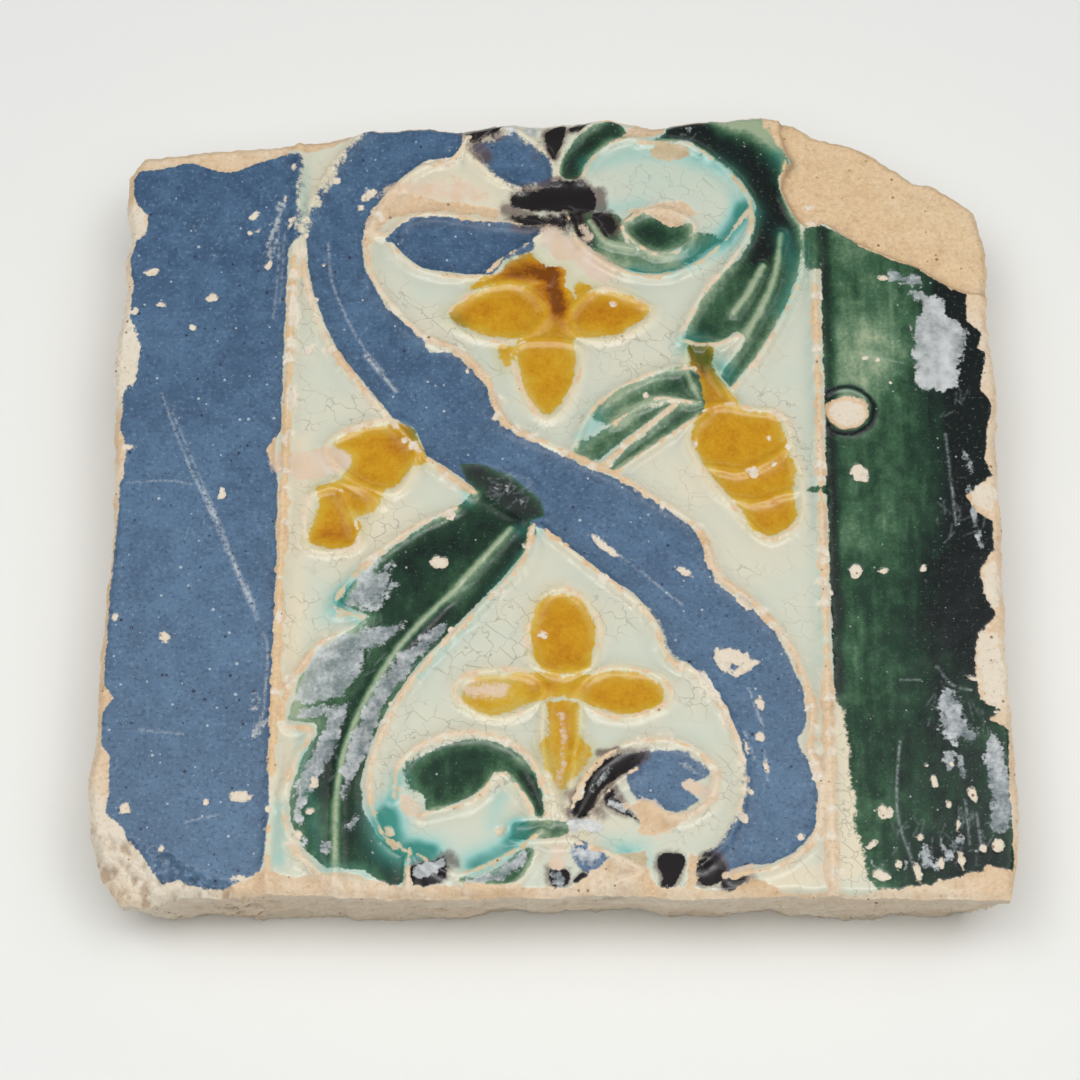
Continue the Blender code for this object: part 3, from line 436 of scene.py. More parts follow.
# Small chips that show the clay: x, y, half length, half width, turn in degrees.
CHIPS: Rows = (
    (-48.3, 49.3, 0.9, 0.5, 60), (-49, 46, 0.5, 0.4, 0), (-64, 38.5, 1, 0.6, 20), (-54.3, 34, 0.9, 0.8, 30),
    (-62.3, 32.5, 0.7, 0.4, 0), (-57.3, 28.5, 0.5, 0.5, 0), (-66.3, 31.3, 0.6, 0.6, 0),
    (-66, 6.8, 0.8, 0.4, 0), (-51.3, -1.3, 0.6, 0.9, 0), (-58.7, -26, 0.6, 0.9, 20),
    (-46.3, -52, 1.4, 0.9, 0), (-63.3, -54, 0.9, 0.8, 30), (-51.3, -53, 0.4, 0.4, 0), (-46, -65, 1, 0.5, 0),
    (-57.5, -60.5, 0.5, 0.4, 0), (-30, 53.5, 1.4, 0.8, 40), (-31.5, 50.8, 0.6, 0.5, 0),
    (7.6, -10.2, 2.6, 0.6, -42), (19.5, -14.4, 1.4, 0.6, -30), (28.4, -19.6, 1.5, 0.8, -50),
    (31, -21.3, 0.8, 0.7, 0), (32.5, -23.5, 0.5, 0.5, 0), (30.5, -41.8, 0.8, 0.7, 0),
    (-20.5, 59.3, 1, 0.7, 0), (-25.2, 31, 1.1, 0.5, -50), (23, -34, 3, 0.7, -62),
    (25.2, -38.8, 1.2, 0.6, -80), (26.6, -28.6, 3, 1.2, -14), (28.4, -30.4, 2.2, 0.8, 30),
    (25.2, -29.4, 1.2, 1.8, 0), (40.8, -41, 0.5, 0.6, 0), (40.8, -44.5, 0.5, 0.6, 0),
    (41.2, -63.5, 0.8, 0.8, 0), (46.5, 3, 1.25, 1.5, 20), (48, 23.4, 0.5, 0.4, 0), (50, 23, 0.4, 0.4, 0),
    (51.3, 38.2, 0.8, 0.5, 0), (45.3, -14, 0.9, 0.9, 30), (49.5, -14, 0.8, 0.5, 0),
    (55.7, -13.5, 0.5, 0.6, 0), (48.3, -54, 1.3, 1, 0), (56, -49.5, 0.4, 0.4, 0), (58.5, -46, 0.4, 0.4, 0),
    (53.5, -58, 0.5, 0.5, 0), (56.2, -62, 0.5, 0.9, 0), (59.3, -61.5, 0.5, 1.3, 10),
    (62.5, -59.7, 0.6, 0.6, 0), (52.8, -63.5, 0.5, 1.4, 10), (47.5, -64, 1.2, 0.8, -30),
    (-17.8, -12.8, 1.4, 1.1, 0), (30, 2.8, 0.9, 0.9, 0), (33.3, 4.3, 0.4, 0.4, 0), (32.8, 9, 0.35, 0.35, 0),
    (35.7, 7.2, 0.5, 0.7, 0), (21.3, 7.8, 0.4, 0.8, 0), (65, -30, 1.8, 6.5, 4), (66, -16, 1.2, 3.4, 0),
    (65.5, -1, 1.8, 2.2, 0), (-67.2, 48, 1.5, 3, 0), (-67, 23, 1.6, 5.4, 0), (-40.6, 42, 0.9, 1.1, 0),
    (-41.4, 31, 0.7, 2.4, 0), (-41.2, 16, 0.7, 2, 0), (-35.5, 56, 0.7, 0.6, 0), (8.8, 33, 0.6, 0.5, 0),
    (-2, -25.2, 0.8, 0.6, 0), (-8, -57.4, 0.9, 0.7, 0), (-24.4, -57.6, 0.8, 0.8, 0),
    (-35.4, -49.6, 0.6, 0.9, 0), (-36, -54.2, 0.8, 0.6, 0), (13.8, 16.4, 0.5, 0.5, 0),
    (-38.4, 24.6, 1, 0.5, 60), (-41.6, 38, 0.6, 1, 0), (-43.6, 52.4, 0.3, 0.6, 0),
    (-45.6, 40, 0.9, 0.5, 70), (-47.6, 46.4, 0.4, 0.3, 0), (-37, 40, 0.3, 0.3, 0),
    (-66.4, -22.6, 0.5, 0.8, 0), (55.7, -48.8, 0.5, 1, 0), (54.6, -46.2, 0.3, 0.3, 0),
    (61.4, -51, 0.6, 1.1, 20), (64.6, -59, 0.9, 1, 0), (59, -56, 0.3, 0.8, 0), (50.2, -62.4, 0.5, 0.8, 0),
    (46.4, -59, 0.9, 0.5, 40), (57.8, -52.6, 0.3, 0.6, 0), (52, 19, 0.2, 0.2, 0),
    (62.4, -32, 1.2, 0.3, -20), (30.4, -36.4, 0.5, 1.1, 15), (31.2, -46.6, 0.4, 1, 8),
    (28.2, -43.6, 0.3, 1.2, 14), (36, -58, 0.6, 0.5, 0), (-14, 20.6, 0.3, 0.3, 0),
)

# Thin scratches in the glaze: strength, then x and y of each place.
SCRATCHES: Rows = (
    (0.15, -61.5, 16.5, -57.5, 6, -52, -5.5), (0.5, -54, -1, -52, -5.5, -48, -15.5, -45.2, -22),
    (0.6, -47, -17, -45, -22.6), (0.22, -57, 4.6, -53.4, -3.4, -50, -11.6),
    (0.15, -44, -25, -43.2, -28, -43.4, -38), (0.12, -61.8, -41.2, -55.3, -42),
    (0.12, -54, -56, -49.5, -55), (0.35, -45.9, 44, -44.6, 48.5, -43.3, 52.7), (0.15, -43.6, 33, -43.4, 46),
    (0.45, -30, 23.5, -28.5, 21.5, -26.5, 19, -25, 17),
    (0.2, -36.4, 44, -35.6, 37, -33.4, 31, -30.4, 25, -27, 20.6), (0.16, -59.6, 13, -55, 2, -50.6, -8),
    (0.12, -44.6, 52, -44.2, 40, -44.6, 30), (0.12, -66, 0.6, -60, 1, -56, 0.4),
    (0.14, 9, -11, 14, -15.4, 19, -20), (0.1, 48, 24, 54, 22.6), (0.14, 60, 10, 61, -6),
    (0.16, 57, -30, 59, -33, 62, -34), (0.22, 28.8, -34, 30.8, -40.2), (0.22, 28, -41, 29.5, -45.5),
    (0.2, 30.8, -44, 31.3, -49), (0.16, 51, -42.5, 50.5, -47, 50.2, -52, 50.5, -56, 52.5, -63),
    (0.12, 60.3, -52, 60.6, -59), (0.12, 61.8, -54, 62.3, -59), (0.1, 51.5, -32.3, 54.5, -32.3),
)

# Places rubbed with short fine scratches: x, y, radius, count and lean in degrees.
RUBBED: Rows = (
    (-7, -0.4, 3.4, 34, 20), (-26, -29, 6, 20, 60), (-34, -44, 5, 12, 70), (60, -38, 5, 18, 85),
    (62, -4, 5, 14, 80), (60, 16, 4, 12, 80), (-56, 44, 4, 6, 60), (-54, -8, 3, 6, 100),
    (18, 66, 4, 12, 10), (60, -58, 4, 22, 95), (52, -56, 5, 14, 80), (-44, 44, 4, 12, 85),
)

# Where the green and amber glaze runs thick and dark, or thin and pale.
THICKNESS: tuple[Wash, ...] = washes(
    (4.2, 0.55, 24, 65, 30, 60, 33, 55, 34, 50, 33, 44), (2.4, 0.5, 17, 65.6, 22, 66),
    (1.8, 0.3, 9, 67, 5, 63, 1.6, 58), (7, 0.5, 66, 44, 65.6, 20, 65, 0, 64, -24),
    (5, 0.25, 62, 36, 63, 16, 62, -20), (0.9, 0.4, 42.4, 47, 42.4, 20, 42.2, 0, 42.2, -34),
    (9, 0.3, 58, -20, 60, -34, 60, -60), (5, -0.28, 50, 26, 47.5, 20), (4, -0.1, 47, 30, 47, 44),
    (4, 0.08, 47, -14, 48, -30, 48, -56), (3.2, 0.45, -13, 3, -8, 0, -4, -4),
    (4, 0.2, -8, -6, -14, -8, -22, -13), (1.6, 0.4, -3.6, -8, -12, -20, -20, -31, -25, -42),
    (3, 0.35, -26, -45, -28, -54, -24, -62, -23, -66), (3, 0.05, -34, -46, -36, -56, -33, -62),
    (3, -0.1, -34, -30, -36, -36), (1.6, 0.3, 3, 48, 6, 43, 10, 40.4), (3.2, 0.22, 15, 46),
    (1.6, 0.4, -3.4, -49, -2.2, -54), (3, 0.1, -18, -50, -12, -47), (3.2, -0.05, 28, 34, 24, 30, 22, 27.4),
    (3, -0.18, 8, 14, 14, 18), (2, -0.12, 4, 7, 12, 12), (3.2, -0.75, 27, 68, 33, 66.4, 38, 62.4),
    (1.9, 1, -0.6, 40, -0.4, 36, 0.2, 32), (2.8, 0.85, -8, 38.8, -3, 39.4), (3, 0.16, -14, 31, -6, 33.4),
    (3, 0.16, 4, 31, 12, 31.6), (2, 0.3, -25, 7, -23, 9.6), (2, 0.35, -35, -8.4, -32, -8.6),
    (1.8, 0.9, 21.8, 24.4, 22.2, 22), (2.6, 0.2, 1, -28, 1, -24), (3.6, -0.5, -8, -35), (2.4, -0.4, 0, -46),
    (2.2, -0.38, 8, 41.4, 14, 39.8, 20, 41.4), (3, 0.08, -20, -15, -27, -24), (1.4, 0.5, 2.6, 47, 4, 44.4),
    (8, 0.12, 56, -40, 64, -60), (4, 0.1, 48, -62, 60, -62), (1.6, -0.25, 5, 43.6, 10, 40.4),
    (1, 0.1, -19, -31, -10, -17), (2, 0.42, -17.6, -21.4, -26, -32.4, -31.4, -44, -32.6, -51),
    (2.4, -0.4, -33, -20.6, -31, -16), (2.2, -0.4, -39.4, -38.6, -38, -33),
)

# Where copper has tinted the white or the green towards turquoise.
TURQUOISE: tuple[Wash, ...] = washes(
    (1.5, 0.55, -40.6, -54, -40.4, -62), (2, 0.5, -34, -21.6, -32.6, -19), (5, 0.22, 15, 57, 22, 56),
    (1.8, 0.5, 5, 59, 12, 61.4, 20, 61, 27, 57, 29.4, 51), (1.4, 0.4, 7, 50.6, 13, 52),
    (2.2, 1.1, 21, 41.6, 26, 45, 29.6, 50), (1.6, 0.8, -23, -49, -24.6, -54),
    (2.7, 1.5, -24.4, -56, -23, -60, -18.4, -61), (2.1, 1.35, -5.6, -57.4, -7.4, -60, -11.6, -62.4),
    (1.4, 0.6, -8, -52, -9.4, -56), (1.8, 0.7, -9, 41.6, -6, 43), (1.4, 0.4, -16.6, 30.4, -15, 29),
    (2.2, 0.95, 20.6, 25.6, 23.4, 23, 26, 20.6), (1.3, 0.9, -22.4, 11, -21.6, 9),
    (1.2, 0.7, 12, 39.4, 18, 39), (1.2, 0.5, 9.6, -60.4, 13, -62), (0.9, 0.6, -14, -0.8, -13.6, -2.6),
    (1.4, 0.5, -30, -15, -33, -20, -30, -23), (1.1, 0.35, -5, -12, -12, -22, -20, -32),
    (1.2, 0.55, 3.4, 9, 6, 11.6, 7, 13.6), (1.2, 0.3, -38, -42, -34, -64), (1.4, 0.6, -33, -64, -28, -64.6),
    (1.5, 0.45, 36, 46, 37.4, 38, 35, 32), (2, 0.5, 35.6, 62, 36.6, 60), (0.8, 0.35, -40.6, 58, -40.4, 48),
    (0.7, 0.22, 39.6, 44, 39.4, 10, 39.6, -30), (1.2, 0.4, -3, -7.4, -5.4, -7.6), (2, 0.4, 8, -59, 12, -60),
)

# Where the glaze has worn down to a pale pinkish skin.
WORN: tuple[Wash, ...] = washes(
    (2.5, 1.25, -41.4, 4, -38.6, 3.6, -33.6, 4.6), (2.1, 0.78, -12.6, -34.4, -8, -34.2),
    (1, 0.6, 0.8, -38.4, 1.2, -44, 0.6, -50), (1.3, 0.95, 19.6, -49.6, 23, -51.6),
    (0.9, 0.7, 12.4, -52.6, 15.4, -53.2), (2.3, 1.15, -1, 45.4, 1, 43.4, 3.6, 42.4, 7, 38.8),
    (1, 0.8, 4, 47.4, 5, 45.6), (3.4, 0.75, -26, 53, -20, 54.4, -14, 53.6), (1.6, 0.7, 36, 66, 39, 62.4),
    (1.5, 0.9, 0.4, -60.4, 0.4, -62.6), (0.8, 0.9, 25, -64.2, 28.6, -62.8), (1, 0.4, 24, -47, 26.4, -54),
    (1, 0.3, -36, -51, -38.6, -45), (1.8, 0.7, -22.4, -52, -20, -55),
)

# Where small grey scuffs lie thick on the glaze.
SCUFFED: tuple[Wash, ...] = washes(
    (2, 0.85, 3, -53, 8, -47.6), (4.4, 0.8, 48, -62, 56, -61, 63, -58), (5, 0.6, 54, -52, 60, -46, 64, -40),
    (2.4, 0.7, 66, 14, 66, 36), (2.2, 0.85, 63, 6, 64.4, -10), (2, 0.45, 56, -14, 46, -14),
    (3.5, 0.6, -35, -58, -28, -60, -24, -64), (1.8, 0.5, -21, -46, -12, -44.4),
    (3, 0.75, 20, 66.4, 27, 66, 32, 62), (2.4, 0.75, -9, 0.4, -5, -2.6), (1.6, 0.7, 2, 58, 4, 60),
    (9, 0.25, -60, -40, -50, -58), (1.6, 0.4, 4, 44.6, 9, 40.4),
)

# Where a glaze has bled into the next one, so that its edge is soft.
SOFTENED: tuple[Wash, ...] = washes(
    (1.6, 4, -30, 66, -36, 58, -40, 47), (1.6, 4, -41.2, 60, -41.2, 46), (1.6, 2, -13, 61, -8, 56, -2, 55),
    (1.7, 4, 14.6, -22, 17.6, -30), (1.6, 3, -9.4, 15, -8, 11), (1.6, 4, 27.6, -49, 26, -57, 22.6, -61),
    (2.6, 1.8, 43.4, -36, 43.8, -50, 46, -63), (1.6, 3, 3, 7, 6, 13), (3, 4, 30, 68, 36, 66, 39, 61),
    (1.3, 2, 16, 64, 24, 60, 29, 55, 30.6, 48, 26.4, 42), (1.6, 2.5, -20, -44.4, -22, -50),
    (2, 4, 20, 40, 26, 45),
)

# Where manganese has bled brown beyond the black.
BLED: tuple[Wash, ...] = washes(
    (1.6, 1, 6.6, 54, 6.8, 51), (2.2, 1, -8, 50.6, -3, 48), (2, 0.9, -13, 62.4, -12, 60.6),
    (1.3, 0.72, -15.4, -61.2, -14.6, -62.4), (0.9, 0.8, 6.4, -44.6, 9, -44.4),
    (1.6, 0.7, 4, -53.6, 7, -54.6), (2.2, 0.8, 3, -52, 7.6, -47), (1.2, 0.6, -3, 63, -3.6, 60.6),
    (1.2, 0.8, 26, -65.6, 28, -64.6), (1.2, 0.9, 8, -50, 9.4, -52),
)

# Where the clay is chalky white, or tan where the strength is below nought.
CHALK: tuple[Wash, ...] = washes(
    (4.6, 1, -70, -54, -64, -60, -54, -67), (3.4, 1.1, -68, 29, -68, 17), (2.4, 0.6, -68, 50, -68, 44),
    (2.6, 0.25, 67, 36, 67, 20, 66.6, -40), (10, -1, 46, 58, 56, 50, 64, 42), (6, -0.8, 36, 66, 44, 56),
    (3, -0.4, -60, 60, -50, 61), (3, -0.35, 14, -65, 30, -65.4), (2, -0.9, -42, 62, -42, -62),
    (2, -0.45, 41.4, 44, 41.4, -62), (26, -0.45, 0, -40, 0, 44),
)

# Where glaze still covers the crests of the raised lines.
COVERED: tuple[Wash, ...] = washes(
    (2.2, 3, -41.7, 45, -41.7, 68), (1.8, 3, -28.6, 67.5, -32.6, 63.2, -36.2, 58, -39.2, 51, -40.6, 45),
    (1.6, 0.6, -30, 50, -27, 54, -22, 58), (3.2, 2, -3.4, 34, -0.6, 30, -0.6, 27.4),
    (2.6, 1.2, 0.6, -33, 2.4, -33.4), (2, 0.8, -25.4, -1, -30, -3.4),
    (1.4, 0.3, 11, 0.6, 14.4, -1.6, 18, -4.4),
    (1.4, 0.4, -2.4, -6.9, 3.6, -12.4, 9.6, -17.6, 14.4, -22.6, 16.4, -28), (2, 3, 40.5, 40, 40.5, 50),
    (1.8, 0.5, -41.9, -50, -41.9, -66), (1.6, 0.6, 27.8, -51, 25.4, -58.4, 22, -62),
    (2.4, -0.75, 40.4, -36, 40.2, -50, 39.6, -64), (1.6, -0.15, -41.8, 26, -41.8, -44),
    (1.6, -0.2, -17, 24, -11, 18, -8, 11), (1.6, -0.25, 21, -7, 24.4, -15, 31, -21.4),
)

# Where the white glaze turns warm and creamy. The stroke at the right, on the green band, only makes the
# painted glare there paler.
CREAM: tuple[Wash, ...] = washes(
    (5, 0.8, -26, 52, -18, 55, -12, 53), (7, 1, 61, 30, 59, 22), (1.6, 0.8, -39.5, 8, -39.5, -20, -39, -60),
    (5, 0.45, -24, 4, -30, -12), (6, 0.3, 16, 6, 26, -2, 30, -12), (3, 0.5, 2, -58, 10, -56),
    (2.2, 1.3, 42.4, -36, 42.8, -50, 43, -62), (1.8, 0.9, 38, -64, 32, -65), (4, 0.3, -10, -50, -6, -54),
    (4, 0.5, 0, 42, 6, 38), (4, 0.2, -8, -12, -2, -16), (3, 0.25, -36, 60, -38, 54),
)


def smooth_path(points: Points, closed: bool, per_span: int = 6) -> np.ndarray:
    """Carry a rounded path through the points.

    Each span is a cubic whose slope at a point is half the step between the point's two
    neighbours.

    Args:
        points: places in millimetres.
        closed: whether the path runs back to its start.
        per_span: places worked out for each span.

    Returns:
        An array of places, two columns.
    """
    given = np.array(points, float)
    if len(given) == 1:
        return np.vstack([given, given + 1e-3])
    if closed:
        before, after = np.roll(given, 1, 0), np.roll(given, -1, 0)
        end, after_end = after, np.roll(given, -2, 0)
        start = given
    else:
        padded = np.vstack([2 * given[0] - given[1], given, 2 * given[-1] - given[-2]])
        before, start, end, after_end = padded[:-3], padded[1:-2], padded[2:-1], padded[3:]
    t = (np.arange(per_span) / per_span)[None, :, None]
    slope_a = ((end - before) / 2)[:, None]
    slope_b = ((after_end - start) / 2)[:, None]
    a, b = start[:, None], end[:, None]
    path = (
        (2 * t**3 - 3 * t**2 + 1) * a + (t**3 - 2 * t**2 + t) * slope_a
        + (3 * t**2 - 2 * t**3) * b + (t**3 - t**2) * slope_b
    ).reshape(-1, 2)
    return path if closed else np.vstack([path, given[-1]])


def bell(distance: np.ndarray, width: float) -> np.ndarray:
    """Fall from 1 at nought to a third at the width, as exp(-(distance / width)^2)."""
    return np.exp(-((distance / width) ** 2))


def step_between(low: float, high: float, value: np.ndarray) -> np.ndarray:
    """Rise smoothly from 0 at low to 1 at high."""
    t = np.clip((value - low) / (high - low), 0, 1)
    return t * t * (3 - 2 * t)


@dataclass
class Grain:
    """Smooth random fields, the same on each run.

    Attributes:
        seed: number that the random lattices start from.
    """

    seed: int = 5

    def layer(self, x: np.ndarray, y: np.ndarray, size: float, key: int) -> np.ndarray:
        """Blend random values at the corners of squares of the given size.

        The value is a bilinear blend of four corners, eased by 3t^2 - 2t^3 each way.

        Args:
            x: places across, in millimetres.
            y: places up, in millimetres.
            size: side of a square in millimetres.
            key: picks one of many unlike fields.

        Returns:
            Values from -1 to 1.
        """
        table = np.random.default_rng((self.seed, key)).uniform(-1, 1, (256, 256))
        u, v = x / size + 1000.0, y / size + 1000.0
        i, j = np.floor(u).astype(int), np.floor(v).astype(int)
        s, t = u - i, v - j
        s, t = s * s * (3 - 2 * s), t * t * (3 - 2 * t)
        i, j = i % 256, j % 256
        k, m = (i + 1) % 256, (j + 1) % 256
        low = table[i, j] * (1 - s) + table[k, j] * s
        high = table[i, m] * (1 - s) + table[k, m] * s
        return low * (1 - t) + high * t

    def cloud(self, x: np.ndarray, y: np.ndarray, size: float, key: int, depth: int = 3) -> np.ndarray:
        """Add layers of halving size and strength.

        Args:
            x: places across, in millimetres.
            y: places up, in millimetres.
            size: largest square in millimetres.
            key: picks one of many unlike fields.
            depth: number of layers.

        Returns:
            Values from about -1 to 1.
        """
        total = np.zeros_like(x)
        for level in range(depth):
            total += self.layer(x, y, size / 2**level, key * 17 + level) / 2**level
        return total / (2 - 2 ** (1 - depth))


GRAIN = Grain()


@dataclass
class Plane:
    """The drawing plane, cut into a fine raster on which the fields are worked out.

    Attributes:
        half: half of its side in millimetres.
        step: distance between two rows in millimetres.
        x: how far across each place of the raster lies, in millimetres.
        y: how far up it lies.
    """

    half: float = 71.0
    step: float = 0.15
    x: np.ndarray = field(init=False)
    y: np.ndarray = field(init=False)

    def __post_init__(self) -> None:
        """Rule the raster, with x along the first index and y along the second."""
        marks = np.arange(-self.half, self.half + self.step / 2, self.step)
        self.x, self.y = np.meshgrid(marks, marks, indexing="ij")

    def blank(self, value: float = 0.0) -> np.ndarray:
        """Give a field that holds one value."""
        return np.full(self.x.shape, value)

    def layer(self, size: float, key: int) -> np.ndarray:
        """Give one layer of grain over the whole plane."""
        return GRAIN.layer(self.x, self.y, size, key)

    def cloud(self, size: float, key: int) -> np.ndarray:
        """Give a cloud of grain over the whole plane."""
        return GRAIN.cloud(self.x, self.y, size, key)

    def window(self, low: np.ndarray, high: np.ndarray) -> tuple[slice, slice]:
        """Find the part of the raster that a box covers.

        Args:
            low: the box's lowest x and y.
            high: its highest x and y.

        Returns:
            The rows and the columns.
        """
        first = np.clip(((low + self.half) / self.step).astype(int), 0, self.x.shape[0] - 1)
        last = np.clip(((high + self.half) / self.step).astype(int) + 2, 1, self.x.shape[0])
        return slice(first[0], last[0]), slice(first[1], last[1])

    def distance(self, path: np.ndarray, closed: bool, reach: float) -> np.ndarray:
        """Work out how far each place lies from a path, up to a reach.

        The nearest place of each straight stretch is the foot of the perpendicular, held
        between the stretch's ends; the least over all stretches is kept.

        Args:
            path: places along the path.
            closed: whether the path runs back to its start.
            reach: distance past which the value stays at the reach.

        Returns:
            A field of distances in millimetres.
        """
        nearest = self.blank(reach)
        ends = np.vstack([path, path[:1]]) if closed else path
        for a, b in zip(ends[:-1], ends[1:]):
            spot = self.window(np.minimum(a, b) - reach, np.maximum(a, b) + reach)
            along = b - a
            length = max(float(along @ along), 1e-12)
            dx, dy = self.x[spot] - a[0], self.y[spot] - a[1]
            t = np.clip((dx * along[0] + dy * along[1]) / length, 0, 1)
            gap = np.hypot(dx - t * along[0], dy - t * along[1])
            nearest[spot] = np.minimum(nearest[spot], gap)
        return nearest

    def inside(self, path: np.ndarray) -> np.ndarray:
        """Tell which places lie within a closed path.

        A place is inside when a line from it to the right crosses the path an odd number
        of times.

        Args:
            path: places along the path.

        Returns:
            A field of truths.
        """
        spot = self.window(path.min(0), path.max(0))
        x, y = self.x[spot], self.y[spot]
        odd = np.zeros(x.shape, bool)
        for a, b in zip(path, np.roll(path, -1, 0)):
            if a[1] == b[1]:
                continue
            spans = (a[1] > y) != (b[1] > y)
            odd ^= spans & (x < (b[0] - a[0]) * (y - a[1]) / (b[1] - a[1]) + a[0])
        found = np.zeros(self.x.shape, bool)
        found[spot] = odd
        return found

    def depth_within(self, path: np.ndarray, reach: float) -> np.ndarray:
        """Give the distance to a closed path, above nought inside it and below outside."""
        gap = self.distance(path, True, reach)
        return np.where(self.inside(path), gap, -gap)

    def wash(self, strokes: tuple[Wash, ...]) -> np.ndarray:
        """Add soft strokes, each falling off as exp(-(distance / radius)^2).

        Args:
            strokes: the strokes.

        Returns:
            A field of their strengths, added up.
        """
        total = self.blank()
        for stroke in strokes:
            reach = 2.6 * stroke.radius
            gap = self.distance(smooth_path(stroke.points, False), False, reach)
            total += stroke.strength * bell(gap, stroke.radius) * (gap < reach)
        return total

    def read(self, values: np.ndarray, x: np.ndarray, y: np.ndarray) -> np.ndarray:
        """Read a field between the rows of the raster, blending its four neighbours.

        Args:
            values: the field.
            x: places across, in millimetres.
            y: places up, in millimetres.

        Returns:
            The field's values at the places.
        """
        u = np.clip((x + self.half) / self.step, 0, values.shape[0] - 1.001)
        v = np.clip((y + self.half) / self.step, 0, values.shape[1] - 1.001)
        i, j = u.astype(int), v.astype(int)
        s, t = u - i, v - j
        return (
            values[i, j] * (1 - s) * (1 - t) + values[i + 1, j] * s * (1 - t)
            + values[i, j + 1] * (1 - s) * t + values[i + 1, j + 1] * s * t
        )


@dataclass
class Face:
    """Every field of the tile's face: its height and where each glaze lies.

    Attributes:
        plane: raster that the fields are worked out on.
        field_height: height of the sunk fields above the underside, in millimetres.
        ridge_half: half width of a raised line at its foot, in millimetres.
        reach: distance up to which patches are measured, in millimetres.
        break_hinge: place on the near edge of the broken corner.
        break_step: step down to the bare clay there, in millimetres.
        break_slope_deg: slope of the bare clay towards the corner.
        chip_slope_deg: slope of the lost near left corner.
        chip_line: two places on the upper edge of that slope.
        spot: middle of the round bare spot.
        spot_radius: radius of the spot in millimetres.
        panel_half: half width of the panel between the bands, in millimetres.
        clay_past: where the clay past the left and right glaze is bare, in millimetres.
        clay_corner: place past which the far right corner is bare.
        fields: every field by its name.
    """

    plane: Plane
    field_height: float = 18.0
    ridge_half: float = 0.8
    reach: float = 3.0
    break_hinge: tuple[float, float] = (40.0, 47.6)
    break_step: float = 0.5
    break_slope_deg: float = 3.2
    chip_slope_deg: float = 29.0
    chip_line: Points = ((-43.0, -66.4), (-67.6, -54.4))
    spot: tuple[float, float] = (44.9, 13.9)
    spot_radius: float = 3.3
    panel_half: float = 41
    clay_past: tuple[float, float] = (-43.4, 47.5)
    clay_corner: tuple[float, float] = (33, 60.5)
    fields: dict[str, np.ndarray] = field(default_factory=dict)

    def __post_init__(self) -> None:
        """Work out all fields once."""
        plane = self.plane
        self.waver_x = plane.x + 0.22 * plane.cloud(2.6, 1) + 0.1 * plane.layer(0.6, 2)
        self.waver_y = plane.y + 0.22 * plane.cloud(2.6, 3) + 0.1 * plane.layer(0.6, 4)
        self.lay_lines()
        self.lay_patches()
        self.lay_chips()
        self.lay_tints()
        self.raise_relief()

    def lay_lines(self) -> None:
        """Raise each line and note how much bare clay shows along its crest.

        A line's cross section is height * exp(-(distance / half width)^2), and the clay
        shows where the distance is under a half width that wavers along the line.
        """
        plane = self.plane
        ragged = 0.5 * plane.cloud(3.4, 5) + 0.3 * plane.layer(0.9, 6)
        ragged += 0.3 * plane.cloud(1.7, 62) - plane.wash(COVERED)
        wander = 1 + 0.35 * plane.cloud(1.8, 10)
        ridge = plane.blank()
        crest = plane.blank(-self.reach)
        near = plane.blank(self.reach)
        for line in LINES.values():
            path = smooth_path(line.points, line.closed)
            gap = plane.distance(path, line.closed, self.reach)
            swell = bell(gap * wander, self.ridge_half)
            ridge = np.maximum(ridge, swell * line.height)
            if line.bare > 0:
                crest = np.maximum(crest, line.bare - gap + ragged)
            if line.height > 0.3:
                near = np.minimum(near, gap)
        self.fields["ridge"] = ridge
        self.fields["crest"] = crest
        self.fields["near"] = near

    def lay_patches(self) -> None:
        """Measure how deep each place lies within the patches of each glaze."""
        plane = self.plane
        x, y = plane.x, plane.y
        flaked = 0.45 * plane.cloud(1.9, 15) + 0.25 * plane.layer(0.5, 16)
        uneven = 0.26 * plane.cloud(1.9, 9)
        softened = plane.wash(SOFTENED)
        for glaze in Glaze:
            deepest = plane.blank(-self.reach)
            for patch in PATCHES:
                if patch.glaze is not glaze:
                    continue
                path = np.array(patch.points, float)
                if patch.outline is Outline.ROUNDED:
                    path = smooth_path(patch.points, True, 4)
                depth = plane.depth_within(path, self.reach)
                broken = glaze in (Glaze.BARE, Glaze.GLARE_AND_SCUFF)
                spread = patch.soft - 1 + (0 if broken else softened)
                softness = 1 + spread * bell(depth, 1.9)
                deepest = np.maximum(deepest, depth / softness)
            self.fields[glaze.value] = deepest + (flaked if broken else uneven)
        glazed = np.maximum.reduce([
            self.fields[glaze.value] for glaze in (Glaze.BLUE, Glaze.GREEN, Glaze.AMBER, Glaze.BLACK)
        ])
        (left, right), (across, up) = self.clay_past, self.clay_corner
        beyond = np.maximum.reduce([left - x, x - right, np.minimum(x - across, y - up)])
        self.fields["bare"] = np.maximum(self.fields["bare"], np.minimum(0.3 - glazed, beyond))
        # The glare-and-scuff field: the painted glare gets streaks along the leaves, and the real scuffs
        # add grey flecks.
        flecks = 1.3 * GRAIN.cloud(x * 1.6, y * 0.7, 1.7, 17) - 3.2 + 3.6 * plane.wash(SCUFFED)
        along_leaf = np.where(x < 0, 0.43 * x + 0.9 * y, y)
        across_leaf = np.where(x < 0, 0.9 * x - 0.43 * y, x)
        self.fields["glare_and_scuff"] += 0.75 * GRAIN.cloud(across_leaf, along_leaf * 0.22, 1.3, 20)
        self.fields["glare_and_scuff"] = np.maximum(self.fields["glare_and_scuff"], flecks)
        self.fields["bled"] = np.maximum(self.fields["black"], 1.9 * plane.wash(BLED) - 1.5)

